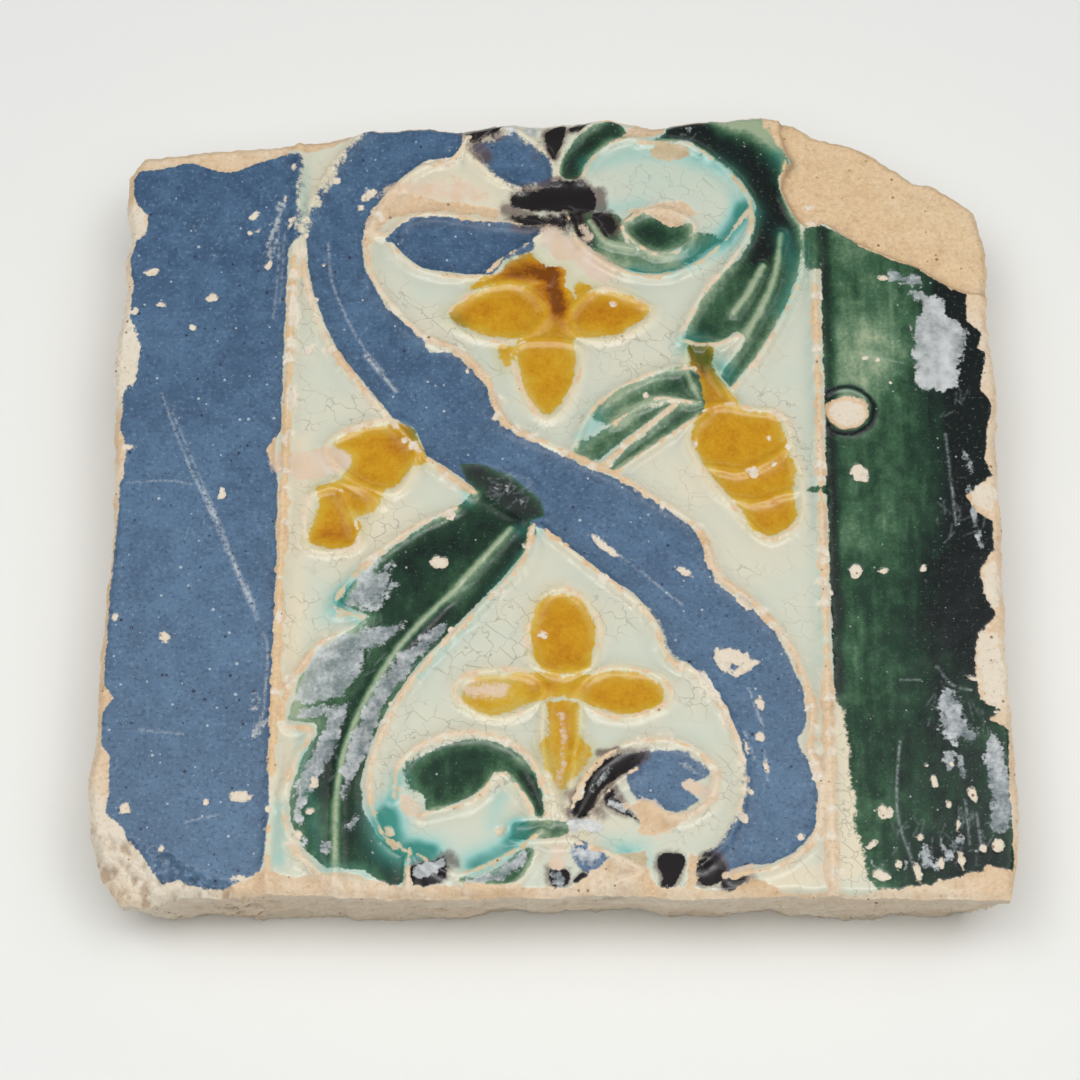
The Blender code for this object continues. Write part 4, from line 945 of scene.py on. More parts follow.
    def lay_chips(self) -> None:
        """Add the chips and the round spot to the bare clay, and draw the scratches."""
        plane = self.plane
        chips = plane.blank(-self.reach)
        for across, up, half_x, half_y, turn_deg in (*CHIPS, *self.crumbled()):
            reach = 2 * max(half_x, half_y) + 1
            at = np.array([across, up])
            spot = plane.window(at - reach, at + reach)
            turn = math.radians(turn_deg)
            dx, dy = self.waver_x[spot] - across, self.waver_y[spot] - up
            u = (dx * math.cos(turn) + dy * math.sin(turn)) / half_x
            v = (dy * math.cos(turn) - dx * math.sin(turn)) / half_y
            ragged = 0.5 * GRAIN.cloud(plane.x[spot], plane.y[spot], 0.8, 7)
            depth = (1 - np.hypot(u, v) + ragged) * min(half_x, half_y)
            chips[spot] = np.maximum(chips[spot], depth)
        self.fields["chips"] = chips
        scratch = plane.blank()
        broken = 0.75 + 0.45 * plane.cloud(2.4, 8)
        for width, *places in (*SCRATCHES, *self.rubbed()):
            gap = plane.distance(smooth_path(pairs(*places), False), False, 1.5)
            line = bell(gap, 0.1 + 0.4 * width) * min(1, 0.32 + 2 * width)
            scratch = np.maximum(scratch, line * broken)
        self.fields["scratch"] = scratch
        round_spot = np.hypot(self.waver_x - self.spot[0], (self.waver_y - self.spot[1]) * 1.1)
        self.fields["spot"] = self.spot_radius - round_spot + 0.5 * plane.cloud(2.4, 18)

    def crumbled(self) -> list[tuple[float, ...]]:
        """Scatter small chips along the lines whose crest is bare, about one each 8 mm.

        Returns:
            A place, half length, half width and turn in degrees for each chip.
        """
        crumbs = []
        for key, line in enumerate(LINES.values()):
            if line.bare < 0.3:
                continue
            path = smooth_path(line.points, line.closed)
            steps = np.hypot(*np.diff(path, axis=0).T)
            along = np.concatenate([[0], np.cumsum(steps)])
            dice = np.random.default_rng((GRAIN.seed, 800 + key))
            at = dice.uniform(0, along[-1], int(along[-1] / 8) + 1)
            places = np.stack([np.interp(at, along, path[:, axis]) for axis in (0, 1)], 1)
            places += dice.normal(0, 0.4, places.shape)
            half = dice.uniform(0.3, 0.8, places.shape)
            turn = dice.uniform(0, 180, (len(places), 1))
            rows = np.concatenate([places, half, turn], 1)
            crumbs += [tuple(row) for row in rows[np.abs(rows[:, 1]) < 60].tolist()]
        return crumbs

    def rubbed(self) -> list[tuple[float, ...]]:
        """Scatter short fine scratches over the places in RUBBED.

        Returns:
            A strength of nought, then the two ends, for each scratch.
        """
        scratches = []
        for key, (across, up, radius, count, lean_deg) in enumerate(RUBBED):
            dice = np.random.default_rng((GRAIN.seed, 900 + key))
            turn = dice.uniform(0, 2 * np.pi, count)
            out = radius * np.sqrt(dice.uniform(0, 1, count))
            lean = np.radians(lean_deg + dice.normal(0, 35, count))
            half = dice.uniform(0.1, 0.32, count) * radius
            x, y = across + out * np.cos(turn), up + out * np.sin(turn)
            dx, dy = half * np.cos(lean), half * np.sin(lean)
            ends = np.stack([x - dx, y - dy, x + dx, y + dy], 1).tolist()
            scratches += [(0, *end) for end in ends]
        return scratches

    def lay_tints(self) -> None:
        """Lay the soft strokes that thicken and tint the glazes."""
        plane = self.plane
        x, y = plane.x, plane.y
        fields = self.fields
        thick = 0.46 + plane.wash(THICKNESS)
        thick += 0.16 * plane.cloud(9, 11) + 0.1 * GRAIN.cloud(x * 1.6, y * 0.5, 1.6, 12)
        thick += np.where(x > self.panel_half, 0.1 * GRAIN.cloud(x * 2.2, y * 0.16, 1.8, 19), 0)
        pooled = step_between(0.2, 2.4, fields["green"])
        thick += np.where(np.abs(x) < self.panel_half, 0.2 * (pooled - 0.6), 0)
        thinned = 0.5 - 0.34 * step_between(-0.5, 0.4, fields["amber"])
        over_line = bell(fields["near"], 0.75) * (x < 39)
        thick -= (thinned + 0.9 * np.clip(thick - 0.45, 0, None)) * over_line
        ring = np.abs(np.hypot(self.waver_x - self.spot[0], self.waver_y - self.spot[1]) - 4.25)
        thick += 0.8 * bell(ring, 0.4)
        fields["thick"] = thick
        halo = plane.wash(TURQUOISE)
        edge = bell(np.clip(-fields["green"], 0, None), 1.1)
        patchy = np.clip(0.15 + 0.3 * plane.cloud(8, 61), 0, 1)
        halo += patchy * edge * (fields["green"] < 0.3) * (np.abs(x) < self.panel_half)
        fields["halo"] = halo * (1 + 0.4 * plane.cloud(4, 13))
        beside = 0.6 * bell(fields["near"], 1.1)
        fields["cream"] = 0.22 + plane.wash(CREAM) + 0.22 * plane.cloud(10, 14) + beside
        fields["worn"] = plane.wash(WORN)
        chipped = step_between(-0.3, 0.05, np.maximum(fields["chips"], 0.3 * fields["spot"] - 0.35))
        washed = plane.wash(CHALK)
        fields["chalk_and_front_light"] = washed + (0.9 - washed) * chipped
        fringe = bell(np.clip(-fields["amber"], 0, None), 0.9)
        fields["yellow"] = fringe * (fields["amber"] < 0.6)

    def raise_relief(self) -> None:
        """Add up the height of the face, take the broken places from it, and work out the painted shade of
        its hollows.
        """
        plane = self.plane
        x, y = plane.x, plane.y
        fields = self.fields
        bare = np.maximum.reduce([fields["bare"], fields["chips"], fields["spot"]])
        fields["open_clay"] = bare
        clay = step_between(-0.1, 0.25, bare)
        grit = plane.cloud(0.9, 21) * 0.05 + plane.layer(0.32, 22) * 0.03
        sway = 0.05 * plane.cloud(11, 23) + 0.012 * plane.cloud(2.2, 24)
        meniscus = 0.16 * bell(fields["near"], 1.5)
        worn = 1 - 0.35 * step_between(0.1, 0.6, plane.cloud(3.5, 25))
        height = self.field_height + fields["ridge"] * worn + meniscus + sway
        height += clay * (grit - 0.12)
        sunk_chip = step_between(-0.05, 0.35, fields["chips"])
        height -= 0.2 * sunk_chip
        dish = np.hypot(x - self.spot[0], y - self.spot[1])
        height += 0.18 * bell(dish - 4.2, 0.6) - 0.4 * step_between(3.6, 2.9, dish)
        lost = step_between(-0.15, 0.5, self.broken_corner())
        height = height * (1 - lost) + lost * (self.broken_floor() + 1.6 * grit)
        height = np.minimum(height, self.lost_corner() + 2.5 * grit)
        fields["height"] = height
        # Painted shade: places lower than their surroundings are darkened, as shade in the hollows and as
        # glaze pooled by the raised lines; chips and the spot are mostly spared.
        sunk = self.smeared(height, 5) - height + 0.6 * (self.smeared(height, 14) - height)
        chipped = step_between(-0.6, -0.1, np.maximum(fields["chips"], fields["spot"]))
        fields["hollow_shade_and_pooling"] = np.clip(2.2 * sunk, 0, 1) * (1 - 0.8 * chipped)

    def smeared(self, values: np.ndarray, rows: int) -> np.ndarray:
        """Average a field over a square of 2 * rows + 1 places, by running sums.

        Args:
            values: the field.
            rows: half of the square's side.

        Returns:
            The averaged field.
        """
        for axis in (0, 1):
            padded = np.concatenate([
                np.repeat(values.take([0], axis), rows + 1, axis), values,
                np.repeat(values.take([-1], axis), rows, axis),
            ], axis)
            sums = np.cumsum(padded, axis)
            size = values.shape[axis]
            ahead = sums.take(range(2 * rows + 1, 2 * rows + 1 + size), axis)
            values = (ahead - sums.take(range(size), axis)) / (2 * rows + 1)
        return values

    def broken_corner(self) -> np.ndarray:
        """Depth within the first patch of bare clay, the broken far right corner."""
        patch = next(patch for patch in PATCHES if patch.glaze is Glaze.BARE)
        return self.plane.depth_within(np.array(patch.points, float), self.reach)

    def broken_floor(self) -> np.ndarray:
        """Work out the broken corner: a plane that falls towards the corner, with waves.

        Returns:
            A field of heights in millimetres.
        """
        plane = self.plane
        across, up = self.break_hinge
        out = ((plane.x - across) + (plane.y - up)) * math.sqrt(0.5)
        floor = self.field_height - self.break_step
        floor = floor - math.tan(math.radians(self.break_slope_deg)) * out
        return floor + 0.3 * plane.cloud(14, 26) + 0.2 * plane.cloud(3, 27)

    def lost_corner(self) -> np.ndarray:
        """Work out the slope that took the near left corner, high everywhere else.

        Returns:
            A field of heights in millimetres.
        """
        plane = self.plane
        (ax, ay), (bx, by) = self.chip_line
        length = math.hypot(bx - ax, by - ay)
        out = ((plane.y - ay) * (bx - ax) - (plane.x - ax) * (by - ay)) / length
        rough = 1.5 * plane.cloud(4.4, 28) + 0.9 * plane.cloud(1.5, 29)
        slope = math.tan(math.radians(self.chip_slope_deg))
        return self.field_height + 0.9 - slope * out + rough * step_between(0, 2, out)


@dataclass
class Rim:
    """The ragged outline of the tile, cut into its four sides.

    Attributes:
        across: quads along the near and far sides.
        up: quads along the left and right sides.
        ragged: how far the outline strays in or out, in millimetres.
    """

    across: int = 640
    up: int = 600
    ragged: float = 0.3

    def side(self, first: int, last: int, count: int) -> np.ndarray:
        """Place points at even steps along the rim between two of its corners.

        Args:
            first: place in the rim's list where the side starts.
            last: place where it ends, further on round the tile.
            count: number of steps.

        Returns:
            count + 1 places in millimetres.
        """
        corners = np.array(RIM, float)
        order = np.arange(first, last + 1 if last > first else last + len(corners) + 1)
        path = corners[order % len(corners)]
        along = np.concatenate([[0], np.cumsum(np.hypot(*np.diff(path, axis=0).T))])
        marks = np.linspace(0, along[-1], count + 1)
        x, y = np.interp(marks, along, path[:, 0]), np.interp(marks, along, path[:, 1])
        stray = self.ragged * (GRAIN.cloud(x, y, 3.4, 31) + 0.5 * GRAIN.layer(x, y, 0.8, 32))
        reach = np.hypot(x, y)
        ease = np.minimum(1, np.minimum(np.arange(count + 1), np.arange(count + 1)[::-1]) / 4)
        return np.stack([x * (1 + stray * ease / reach), y * (1 + stray * ease / reach)], 1)

    def sides(self) -> tuple[np.ndarray, np.ndarray, np.ndarray, np.ndarray]:
        """Work out the four sides, each from low to high x or y.

        Returns:
            The near, far, left and right sides.
        """
        near_left, near_right, far_right, far_left = RIM_CORNERS
        near = self.side(near_right, near_left, self.across)[::-1]
        far = self.side(far_left, far_right, self.across)
        left = self.side(near_left, far_left, self.up)
        right = self.side(far_right, near_right, self.up)[::-1]
        return near, far, left, right

    def spread(self) -> np.ndarray:
        """Carry a grid across the face between the four sides.

        Each place is the blend of the near and far sides plus the blend of the left and
        right sides, less the blend of the four corners.

        Returns:
            An array of (across + 1, up + 1, 2) places in millimetres.
        """
        near, far, left, right = self.sides()
        u = np.linspace(0, 1, self.across + 1)[:, None, None]
        v = np.linspace(0, 1, self.up + 1)[None, :, None]
        rows = (1 - v) * near[:, None] + v * far[:, None]
        columns = (1 - u) * left[None] + u * right[None]
        corners = (
            (1 - u) * (1 - v) * near[0] + u * (1 - v) * near[-1]
            + (1 - u) * v * far[0] + u * v * far[-1]
        )
        return rows + columns - corners

    def ring(self, grid: np.ndarray) -> np.ndarray:
        """Read the border of a grid once round, anticlockwise seen from above."""
        return np.concatenate([grid[:-1, 0], grid[-1, :-1], grid[:0:-1, -1], grid[0, :0:-1]])


def grid_faces(rows: int, columns: int, wrap: bool = False) -> np.ndarray:
    """Join a grid of vertices into quads.

    Args:
        rows: vertices along the first index.
        columns: vertices along the second index.
        wrap: whether the first index runs back to its start.

    Returns:
        An array of four vertex numbers for each quad, facing +Z on a plain grid.
    """
    numbers = np.arange(rows * columns).reshape(rows, columns)
    if wrap:
        numbers = np.vstack([numbers, numbers[:1]])
    return np.stack(
        [numbers[:-1, :-1], numbers[1:, :-1], numbers[1:, 1:], numbers[:-1, 1:]], -1
    ).reshape(-1, 4)


@dataclass
class Piece:
    """A finished mesh of the tile with the fields that its material reads.

    Attributes:
        name: name of the object.
        places: vertices in millimetres on the drawing's axes.
        faces: four vertex numbers for each quad.
        normals: direction that each vertex faces.
        values: fields for the material, by attribute name.
    """

    name: str
    places: np.ndarray
    faces: np.ndarray
    normals: np.ndarray
    values: dict[str, np.ndarray]

    def build(self, material: bpy.types.Material) -> None:
        """Make the object, give it its finish and let it stand for the part's solid.

        Args:
            material: the finish.
        """
        mesh = bpy.data.meshes.new(self.name)
        mesh.vertices.add(len(self.places))
        mesh.loops.add(self.faces.size)
        mesh.polygons.add(len(self.faces))
        moved = (self.places + np.array([*SHIFT_MM, 0.0])) * MM
        mesh.vertices.foreach_set("co", moved.astype(np.float32).ravel())
        mesh.loops.foreach_set("vertex_index", self.faces.astype(np.int32).ravel())
        mesh.polygons.foreach_set("loop_start", np.arange(0, self.faces.size, 4, dtype=np.int32))
        mesh.update(calc_edges=True)
        mesh.polygons.foreach_set("use_smooth", np.ones(len(self.faces), bool))
        for name, values in self.values.items():
            held = mesh.attributes.new(name, "FLOAT", "POINT")
            held.data.foreach_set("value", values.astype(np.float32).ravel())
        mesh.validate()
        mesh.normals_split_custom_set_from_vertices(self.normals.astype(np.float32))
        mesh.materials.append(material)
        obj = bpy.data.objects.new(self.name, mesh)
        bpy.context.scene.collection.objects.link(obj)
        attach(obj, "root")
        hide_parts(NODE)
        LOG.info("%s: %d quads", self.name, len(self.faces))


def unit(vectors: np.ndarray) -> np.ndarray:
    """Scale vectors to length one."""
    return vectors / np.maximum(np.linalg.norm(vectors, axis=-1, keepdims=True), 1e-9)


def grid_normals(places: np.ndarray) -> np.ndarray:
    """Work out the normals of a grid as the cross product of its two slopes."""
    return unit(np.cross(np.gradient(places, axis=0), np.gradient(places, axis=1)))


@dataclass
class FaceSurface:
    """The glazed face as a height over the drawing plane, in five sheets.

    Attributes:
        face: the fields.
        rim: the outline and its grid.
        edge_drop: how far the face falls to the widest place of the rim, in millimetres.
        edge_round: width over which it falls, in millimetres.
        band_lines: where the blue band ends and the green one starts, in millimetres.
        places: the grid at the height of the face.
    """

    face: Face
    rim: Rim
    edge_drop: float = 1.0
    edge_round: float = 1.3
    band_lines: tuple[float, float] = (-41.8, 40.5)
    places: np.ndarray = field(init=False)

    def __post_init__(self) -> None:
        """Lift the grid to the face's height, with its border rounded over."""
        grid = self.rim.spread()
        plane, fields = self.face.plane, self.face.fields
        x, y = grid[..., 0], grid[..., 1]
        border = self.rim.ring(grid)
        from_edge = plane.read(plane.distance(border[::4], True, 4.0), x, y)
        uneven = 1 + 0.5 * GRAIN.cloud(x, y, 4.5, 41)
        fall = self.edge_drop * uneven * (1 - step_between(0, self.edge_round, from_edge) ** 0.5)
        height = plane.read(fields["height"], x, y) - fall
        self.places = np.concatenate([grid, height[..., None]], -1)
        self.edge = 0.25 + 0.2 * GRAIN.cloud(x, y, 2.6, 42) - from_edge

    def values(self, part: tuple[slice, slice]) -> dict[str, np.ndarray]:
        """Read the fields that the finish needs on one sheet of the face.

        Args:
            part: the sheet's rows and columns of the grid.

        Returns:
            The fields' values by name.
        """
        plane, fields = self.face.plane, self.face.fields
        x, y = self.places[part][..., 0], self.places[part][..., 1]
        read = {
            name: plane.read(fields[name], x, y)
            for name in ("blue", "green", "amber", "black", "glare_and_scuff", "crest", "thick",
                         "halo", "cream", "yellow", "worn", "bled", "chalk_and_front_light", "scratch", "hollow_shade_and_pooling")
        }
        read["broad"] = 0.5 + 0.5 * GRAIN.cloud(x, y, 7.0, 43, 4)
        read["fine"] = 0.5 + 0.5 * GRAIN.cloud(x, y, 1.6, 44)
        open_clay = plane.read(fields["open_clay"], x, y)
        read["open_clay"] = np.maximum(open_clay, self.edge[part])
        read["grit"] = np.clip(read["open_clay"], 0, 1)
        return read

    def build(self, material: bpy.types.Material) -> None:
        """Build the five sheets, which meet vertex to vertex.

        Args:
            material: the finish.
        """
        normals = grid_normals(self.places)
        columns = self.places[:, self.rim.up // 2, 0]
        left, right = (int(np.searchsorted(columns, line)) for line in self.band_lines)
        third, two_thirds = self.rim.up // 3, 2 * self.rim.up // 3
        sheets = {
            "blue_band": (slice(0, left + 1), slice(None)),
            "scroll_panel_foot": (slice(left, right + 1), slice(0, third + 1)),
            "scroll_panel_middle": (slice(left, right + 1), slice(third, two_thirds + 1)),
            "scroll_panel_head": (slice(left, right + 1), slice(two_thirds, None)),
            "green_band": (slice(right, None), slice(None)),
        }
        for name, part in sheets.items():
            places = self.places[part]
            Piece(
                name, places.reshape(-1, 3), grid_faces(*places.shape[:2]),
                normals[part].reshape(-1, 3),
                {key: value.ravel() for key, value in self.values(part).items()},
            ).build(material)


@dataclass
class BrokenSides:
    """The rough clay sides, carried down from the face's border to the underside.

    Attributes:
        surface: the face, whose border the sides hang from.
        levels: rows between the border and the underside.
        undercut: how far the underside stands in from the rim, in millimetres.
        inner_rows: rows from the lower edge to the middle of the underside.
        inner_end: how far to the middle the last of these rows lies, as a share.
        seam_turn: turn of the wave of cracks in a millimetre of height, in radians.
        seam_half: how wide a crack is, as a share of that wave.
        lime_corner: corner that lime still clings to, in millimetres.
        lime_reach: how far the lime goes from it, in millimetres.
    """

    surface: FaceSurface
    levels: int = 34
    undercut: float = 4.6
    inner_rows: int = 7
    inner_end: float = 0.999
    seam_turn: float = 1.9
    seam_half: float = 0.3
    lime_corner: tuple[float, float] = (-64, -64)
    lime_reach: float = 12

    def wall(self) -> np.ndarray:
        """Work out the sides as a ring of places at each level.

        Going down by a share s, the ring draws in by undercut * bay * s^1.1, where the bay
        swells and shrinks slowly along the side, and strays by a rough field that is
        longer along the side than it is high, as torn clay is. The cracks follow a wave
        of the height.

        Returns:
            An array of (places round, levels + 1, 3).
        """
        border = self.surface.rim.ring(self.surface.places)
        share = (np.linspace(0, 1, self.levels + 1) ** 1.15)[None, :]
        x, y, top = border[:, 0:1], border[:, 1:2], border[:, 2:3]
        z = top * (1 - share)
        round_mm = np.concatenate([[0], np.cumsum(np.hypot(*np.diff(border[:, :2], axis=0).T))])[:, None]
        along = np.repeat(round_mm, self.levels + 1, 1)
        torn = 0.75 * GRAIN.cloud(along, z * 1.6, 7.0, 51) + 0.3 * GRAIN.cloud(along, z * 3.5, 3.0, 52)
        torn += 0.14 * GRAIN.layer(along, z * 2, 0.8, 53)
        seam = top - 4.2 - 7.5 * share + 1.6 * GRAIN.cloud(along, z * 0, 16.0, 57)
        split = bell(np.sin(seam * self.seam_turn), self.seam_half)
        split = split * step_between(0.05, 0.45, GRAIN.cloud(along, z * 0.6, 9.0, 58))
        torn -= 0.7 * split
        rough = 0.6 * GRAIN.cloud(along, z * 2.2, 1.6, 60)
        torn += 0.35 * rough
        self.cracks = np.clip(0.7 * split - 0.9 * rough, 0, 1) * np.minimum(1, 5 * share)
        bay = 1 + 0.27 * GRAIN.cloud(along, z * 0, 22.0, 59)
        bay += 0.1 * GRAIN.cloud(along, z * 0, 7.0, 63)
        draw = self.undercut * bay * share**1.1 - torn * np.minimum(1, 6 * share)
        half = np.maximum(np.abs(x), np.abs(y))
        return np.stack([x * (1 - draw / half), y * (1 - draw / half), z], -1)

    def build(self, material: bpy.types.Material) -> None:
        """Build the sides and the underside, which closes to a point in its middle.

        Args:
            material: the finish.
        """
        wall = self.wall()
        down = wall[:, ::-1]
        looped = np.concatenate([down[-1:], down, down[:1]])
        normals = grid_normals(looped)[1:-1]
        # The cracks are darkened with painted shade.
        self.dress("broken_sides", down, normals, self.cracks[:, ::-1], material)
        rim_ring = wall[:, -1]
        share = (np.linspace(0, 1, self.inner_rows + 1) ** 0.6 * self.inner_end)[None, :, None]
        floor = rim_ring[:, None] * (1 - share)
        lift = 0.25 * (0.5 + 0.5 * GRAIN.cloud(floor[..., 0], floor[..., 1], 9, 54))
        floor[..., 2] = lift * step_between(0, 0.04, share[..., 0]) * 0.8
        inwards = floor[:, ::-1]
        down_normals = np.zeros_like(inwards)
        down_normals[..., 2] = -1
        self.dress("underside", inwards, down_normals, np.zeros(inwards.shape[:2]), material)

    def dress(
        self, name: str, rows: np.ndarray, normals: np.ndarray, hollow_shade_and_pooling: np.ndarray,
        material: bpy.types.Material,
    ) -> None:
        """Build one ring of bare clay that runs round the tile.

        Args:
            name: name of the piece.
            rows: places, round the tile along the first index.
            normals: direction that each place faces.
            hollow_shade_and_pooling: painted shade, from 0 to 1, by how deep each place lies in a crack.
            material: the finish.
        """
        flat = rows.reshape(-1, 3)
        faces = grid_faces(rows.shape[0], rows.shape[1], wrap=True)
        nought = np.zeros(len(flat))
        values = {"open_clay": nought + 2, "grit": nought + 1}
        for key in ("blue", "green", "amber", "black", "glare_and_scuff", "crest", "bled"):
            values[key] = nought + ABSENT
        for key in ("thick", "halo", "cream", "yellow", "worn", "scratch"):
            values[key] = nought
        values["torn"] = nought + 1
        values["hollow_shade_and_pooling"] = hollow_shade_and_pooling.ravel()
        across, up, height = flat.T
        from_lime = np.hypot(across - self.lime_corner[0], up - self.lime_corner[1])
        values["chalk_and_front_light"] = bell(from_lime, self.lime_reach)
        # Painted light: the near side of the tile is painted paler, where the front light falls on it.
        values["chalk_and_front_light"] = np.maximum(values["chalk_and_front_light"], 0.45 * step_between(-58, -62, up))
        values["broad"] = 0.5 + 0.5 * GRAIN.cloud(across + up, height * 2.5 + up, 7.0, 55, 4)
        values["fine"] = 0.5 + 0.5 * GRAIN.cloud(across + up, height * 2 - up, 1.6, 56)
        Piece(name, flat, faces, normals.reshape(-1, 3), values).build(material)


@dataclass(frozen=True)
class Colour:
    """A colour as it looks in daylight, from 0 to 255 for red, green and blue."""

    red: float
    green: float
    blue: float

    def linear(self) -> tuple[float, float, float, float]:
        """Give the colour as the shader wants it, with its screen curve undone.

        Returns:
            Red, green, blue and a full alpha.
        """
        shares = np.array([self.red, self.green, self.blue]) / 255
        low, high = shares / 12.92, ((shares + 0.055) / 1.055) ** 2.4
        return (*np.where(shares <= 0.04045, low, high).tolist(), 1.0)


BLUE_DEEP = Colour(54, 84, 116)
BLUE_MID = Colour(78, 111, 143)
BLUE_PALE = Colour(130, 155, 178)
BLUE_DARK = Colour(38, 56, 86)
GLARE_AND_SCUFF_DARK = Colour(118, 130, 138)
GLARE_AND_SCUFF_PALE = Colour(216, 219, 219)
GREEN_STEPS = (
    (0.0, Colour(160, 176, 144)), (0.22, Colour(108, 138, 108)), (0.42, Colour(64, 100, 72)),
    (0.62, Colour(34, 64, 46)), (0.85, Colour(20, 38, 32)), (1.0, Colour(16, 24, 24)),
)
AMBER_STEPS = (
    (0.0, Colour(208, 182, 96)), (0.22, Colour(210, 168, 48)), (0.48, Colour(204, 149, 25)),
    (0.75, Colour(182, 114, 13)), (1.0, Colour(124, 66, 6)),
)
OLIVE = Colour(92, 100, 30)
TEAL_DEEP = Colour(56, 140, 128)
SKIN = Colour(232, 214, 200)
SCUFF = Colour(196, 204, 208)
CLAY_CHALK_AND_LIGHT = Colour(230, 222, 205)
CLAY_CORNER = Colour(226, 195, 152)
TEAL = Colour(52, 132, 118)
WHITE_COOL = Colour(208, 214, 198)
WHITE_WARM = Colour(228, 218, 192)
TURQUOISE_PALE = Colour(148, 205, 198)
MANGANESE = Colour(30, 25, 28)
MANGANESE_HALO = Colour(84, 56, 54)
CLAY_PALE = Colour(230, 214, 190)
CLAY_PEACH = Colour(224, 194, 158)
CLAY_TAN = Colour(205, 168, 126)
CLAY_GREY = Colour(224, 207, 186)
CLAY_SHADE = Colour(186, 152, 118)
CLAY_HOLLOW_SHADE = Colour(150, 120, 90)
CLAY_TINGED = Colour(176, 176, 138)
GLAZE_SHADE = Colour(60, 62, 50)
WHITE_GRAIN = Colour(190, 180, 158)
CRACKLE = Colour(146, 138, 120)
AMBER_FRINGE = Colour(200, 190, 122)
BLUE_SPECK = Colour(34, 48, 72)
BLUE_BARE_SPECK = Colour(170, 184, 194)
GREEN_GRAIN = Colour(112, 138, 118)
GREEN_SPECK = Colour(150, 168, 155)
CLAY_GRAIN = Colour(244, 234, 216)
CLAY_SPECK = Colour(150, 118, 88)
FLOOR_PALE = Colour(240, 241, 238)


Socket = bpy.types.NodeSocket


class Wiring:
    """Small helper that lays nodes and joins them."""

    def __init__(self, material: bpy.types.Material) -> None:
        """Start from an empty node tree.

        Args:
            material: the material that the nodes belong to.
        """
        material.use_nodes = True
        self.tree = material.node_tree
        self.tree.nodes.clear()

    def node(self, kind: str, **settings: object) -> bpy.types.Node:
        """Add a node and set its fields.

        Args:
            kind: the node's type.
            **settings: values for its fields, by name.

        Returns:
            The node.
        """
        made = self.tree.nodes.new(kind)
        for name, value in settings.items():
            setattr(made, name, value)
        return made

    def put(self, socket: Socket, value: object) -> None:
        """Join a socket to a value, a colour or another socket.

        Args:
            socket: the socket that takes it in.
            value: what it takes.
        """
        if isinstance(value, Socket):
            self.tree.links.new(value, socket)
        elif isinstance(value, Colour):
            socket.default_value = value.linear()
        else:
            socket.default_value = value

    def fed(self, made: bpy.types.Node, values: dict[str | int, object]) -> bpy.types.Node:
        """Fill sockets of a node.

        Args:
            made: the node.
            values: what each socket takes, by its name or number.

        Returns:
            The same node.
        """
        for key, value in values.items():
            self.put(made.inputs[key], value)
        return made

    def attribute(self, name: str) -> Socket:
        """Read one of the mesh's own fields."""
        return self.node("ShaderNodeAttribute", attribute_name=name).outputs["Fac"]

    def place(self) -> Socket:
        """Give the object's own coordinates."""
        return self.node("ShaderNodeTexCoord").outputs["Object"]

    def maths(self, operation: str, *values: object, clamp: bool = False) -> Socket:
        """Work out a number.

        Args:
            operation: name of the sum.
            *values: the numbers that go in.
            clamp: whether the answer is held between 0 and 1.

        Returns:
            The answer.
        """
        made = self.node("ShaderNodeMath", operation=operation, use_clamp=clamp)
        for socket, value in zip(made.inputs, values):
            self.put(socket, value)
        return made.outputs[0]

    def times(self, first: object, second: object) -> Socket:
        """Multiply two numbers."""
        return self.maths("MULTIPLY", first, second)

    def plus(self, value: object, factor: object, added: object) -> Socket:
        """Multiply a number by a factor, then add another number."""
        return self.maths("MULTIPLY_ADD", value, factor, added)

    def ease(self, value: object, low: object, high: object) -> Socket:
        """Rise smoothly from 0 at low to 1 at high."""
        made = self.node("ShaderNodeMapRange", interpolation_type="SMOOTHSTEP")
        return self.fed(made, {"Value": value, "From Min": low, "From Max": high}).outputs["Result"]

    def mix(self, share: object, first: object, second: object) -> Socket:
        """Mix two colours, the first at share 0 and the second at share 1."""
        made = self.node("ShaderNodeMix", data_type="RGBA", clamp_factor=True)
        return self.fed(made, {0: share, 6: first, 7: second}).outputs[2]

    def tint(self, colour: object, over: object, share: object, strength: float) -> Socket:
        """Lay a colour over another where a share, times a strength, says."""
        return self.mix(self.times(share, strength), colour, over)

    def blend(self, share: object, first: object, second: object) -> Socket:
        """Mix two numbers, the first at share 0 and the second at share 1."""
        made = self.node("ShaderNodeMix", data_type="FLOAT")
        return self.fed(made, {0: share, 2: first, 3: second}).outputs[0]

    def noise(self, per_metre: float, detail: float, roughness: float) -> Socket:
        """Give a cloud pattern on the object's own coordinates, from about 0 to 1."""
        values = {"Vector": self.place(), "Scale": per_metre, "Detail": detail, "Roughness": roughness}
        return self.fed(self.node("ShaderNodeTexNoise"), values).outputs["Fac"]

    def cell_pattern(self, per_metre: float, feature: str = "F1") -> bpy.types.Node:
        """Give a cell pattern on the object's own coordinates."""
        made = self.node("ShaderNodeTexVoronoi", feature=feature)
        return self.fed(made, {"Vector": self.place(), "Scale": per_metre})

    def steps(self, share: object, stops: tuple[tuple[float, Colour], ...]) -> Socket:
        """Read a colour from a row of stops.

        Args:
            share: place along the row, from 0 to 1.
            stops: place and colour of each stop.

        Returns:
            The colour there.
        """
        made = self.fed(self.node("ShaderNodeValToRGB"), {"Fac": share})
        bars = made.color_ramp.elements
        while len(bars) < len(stops):
            bars.new(0.5)
        for bar, (place, colour) in zip(bars, stops):
            bar.position = place
            bar.color = colour.linear()
        return made.outputs["Color"]


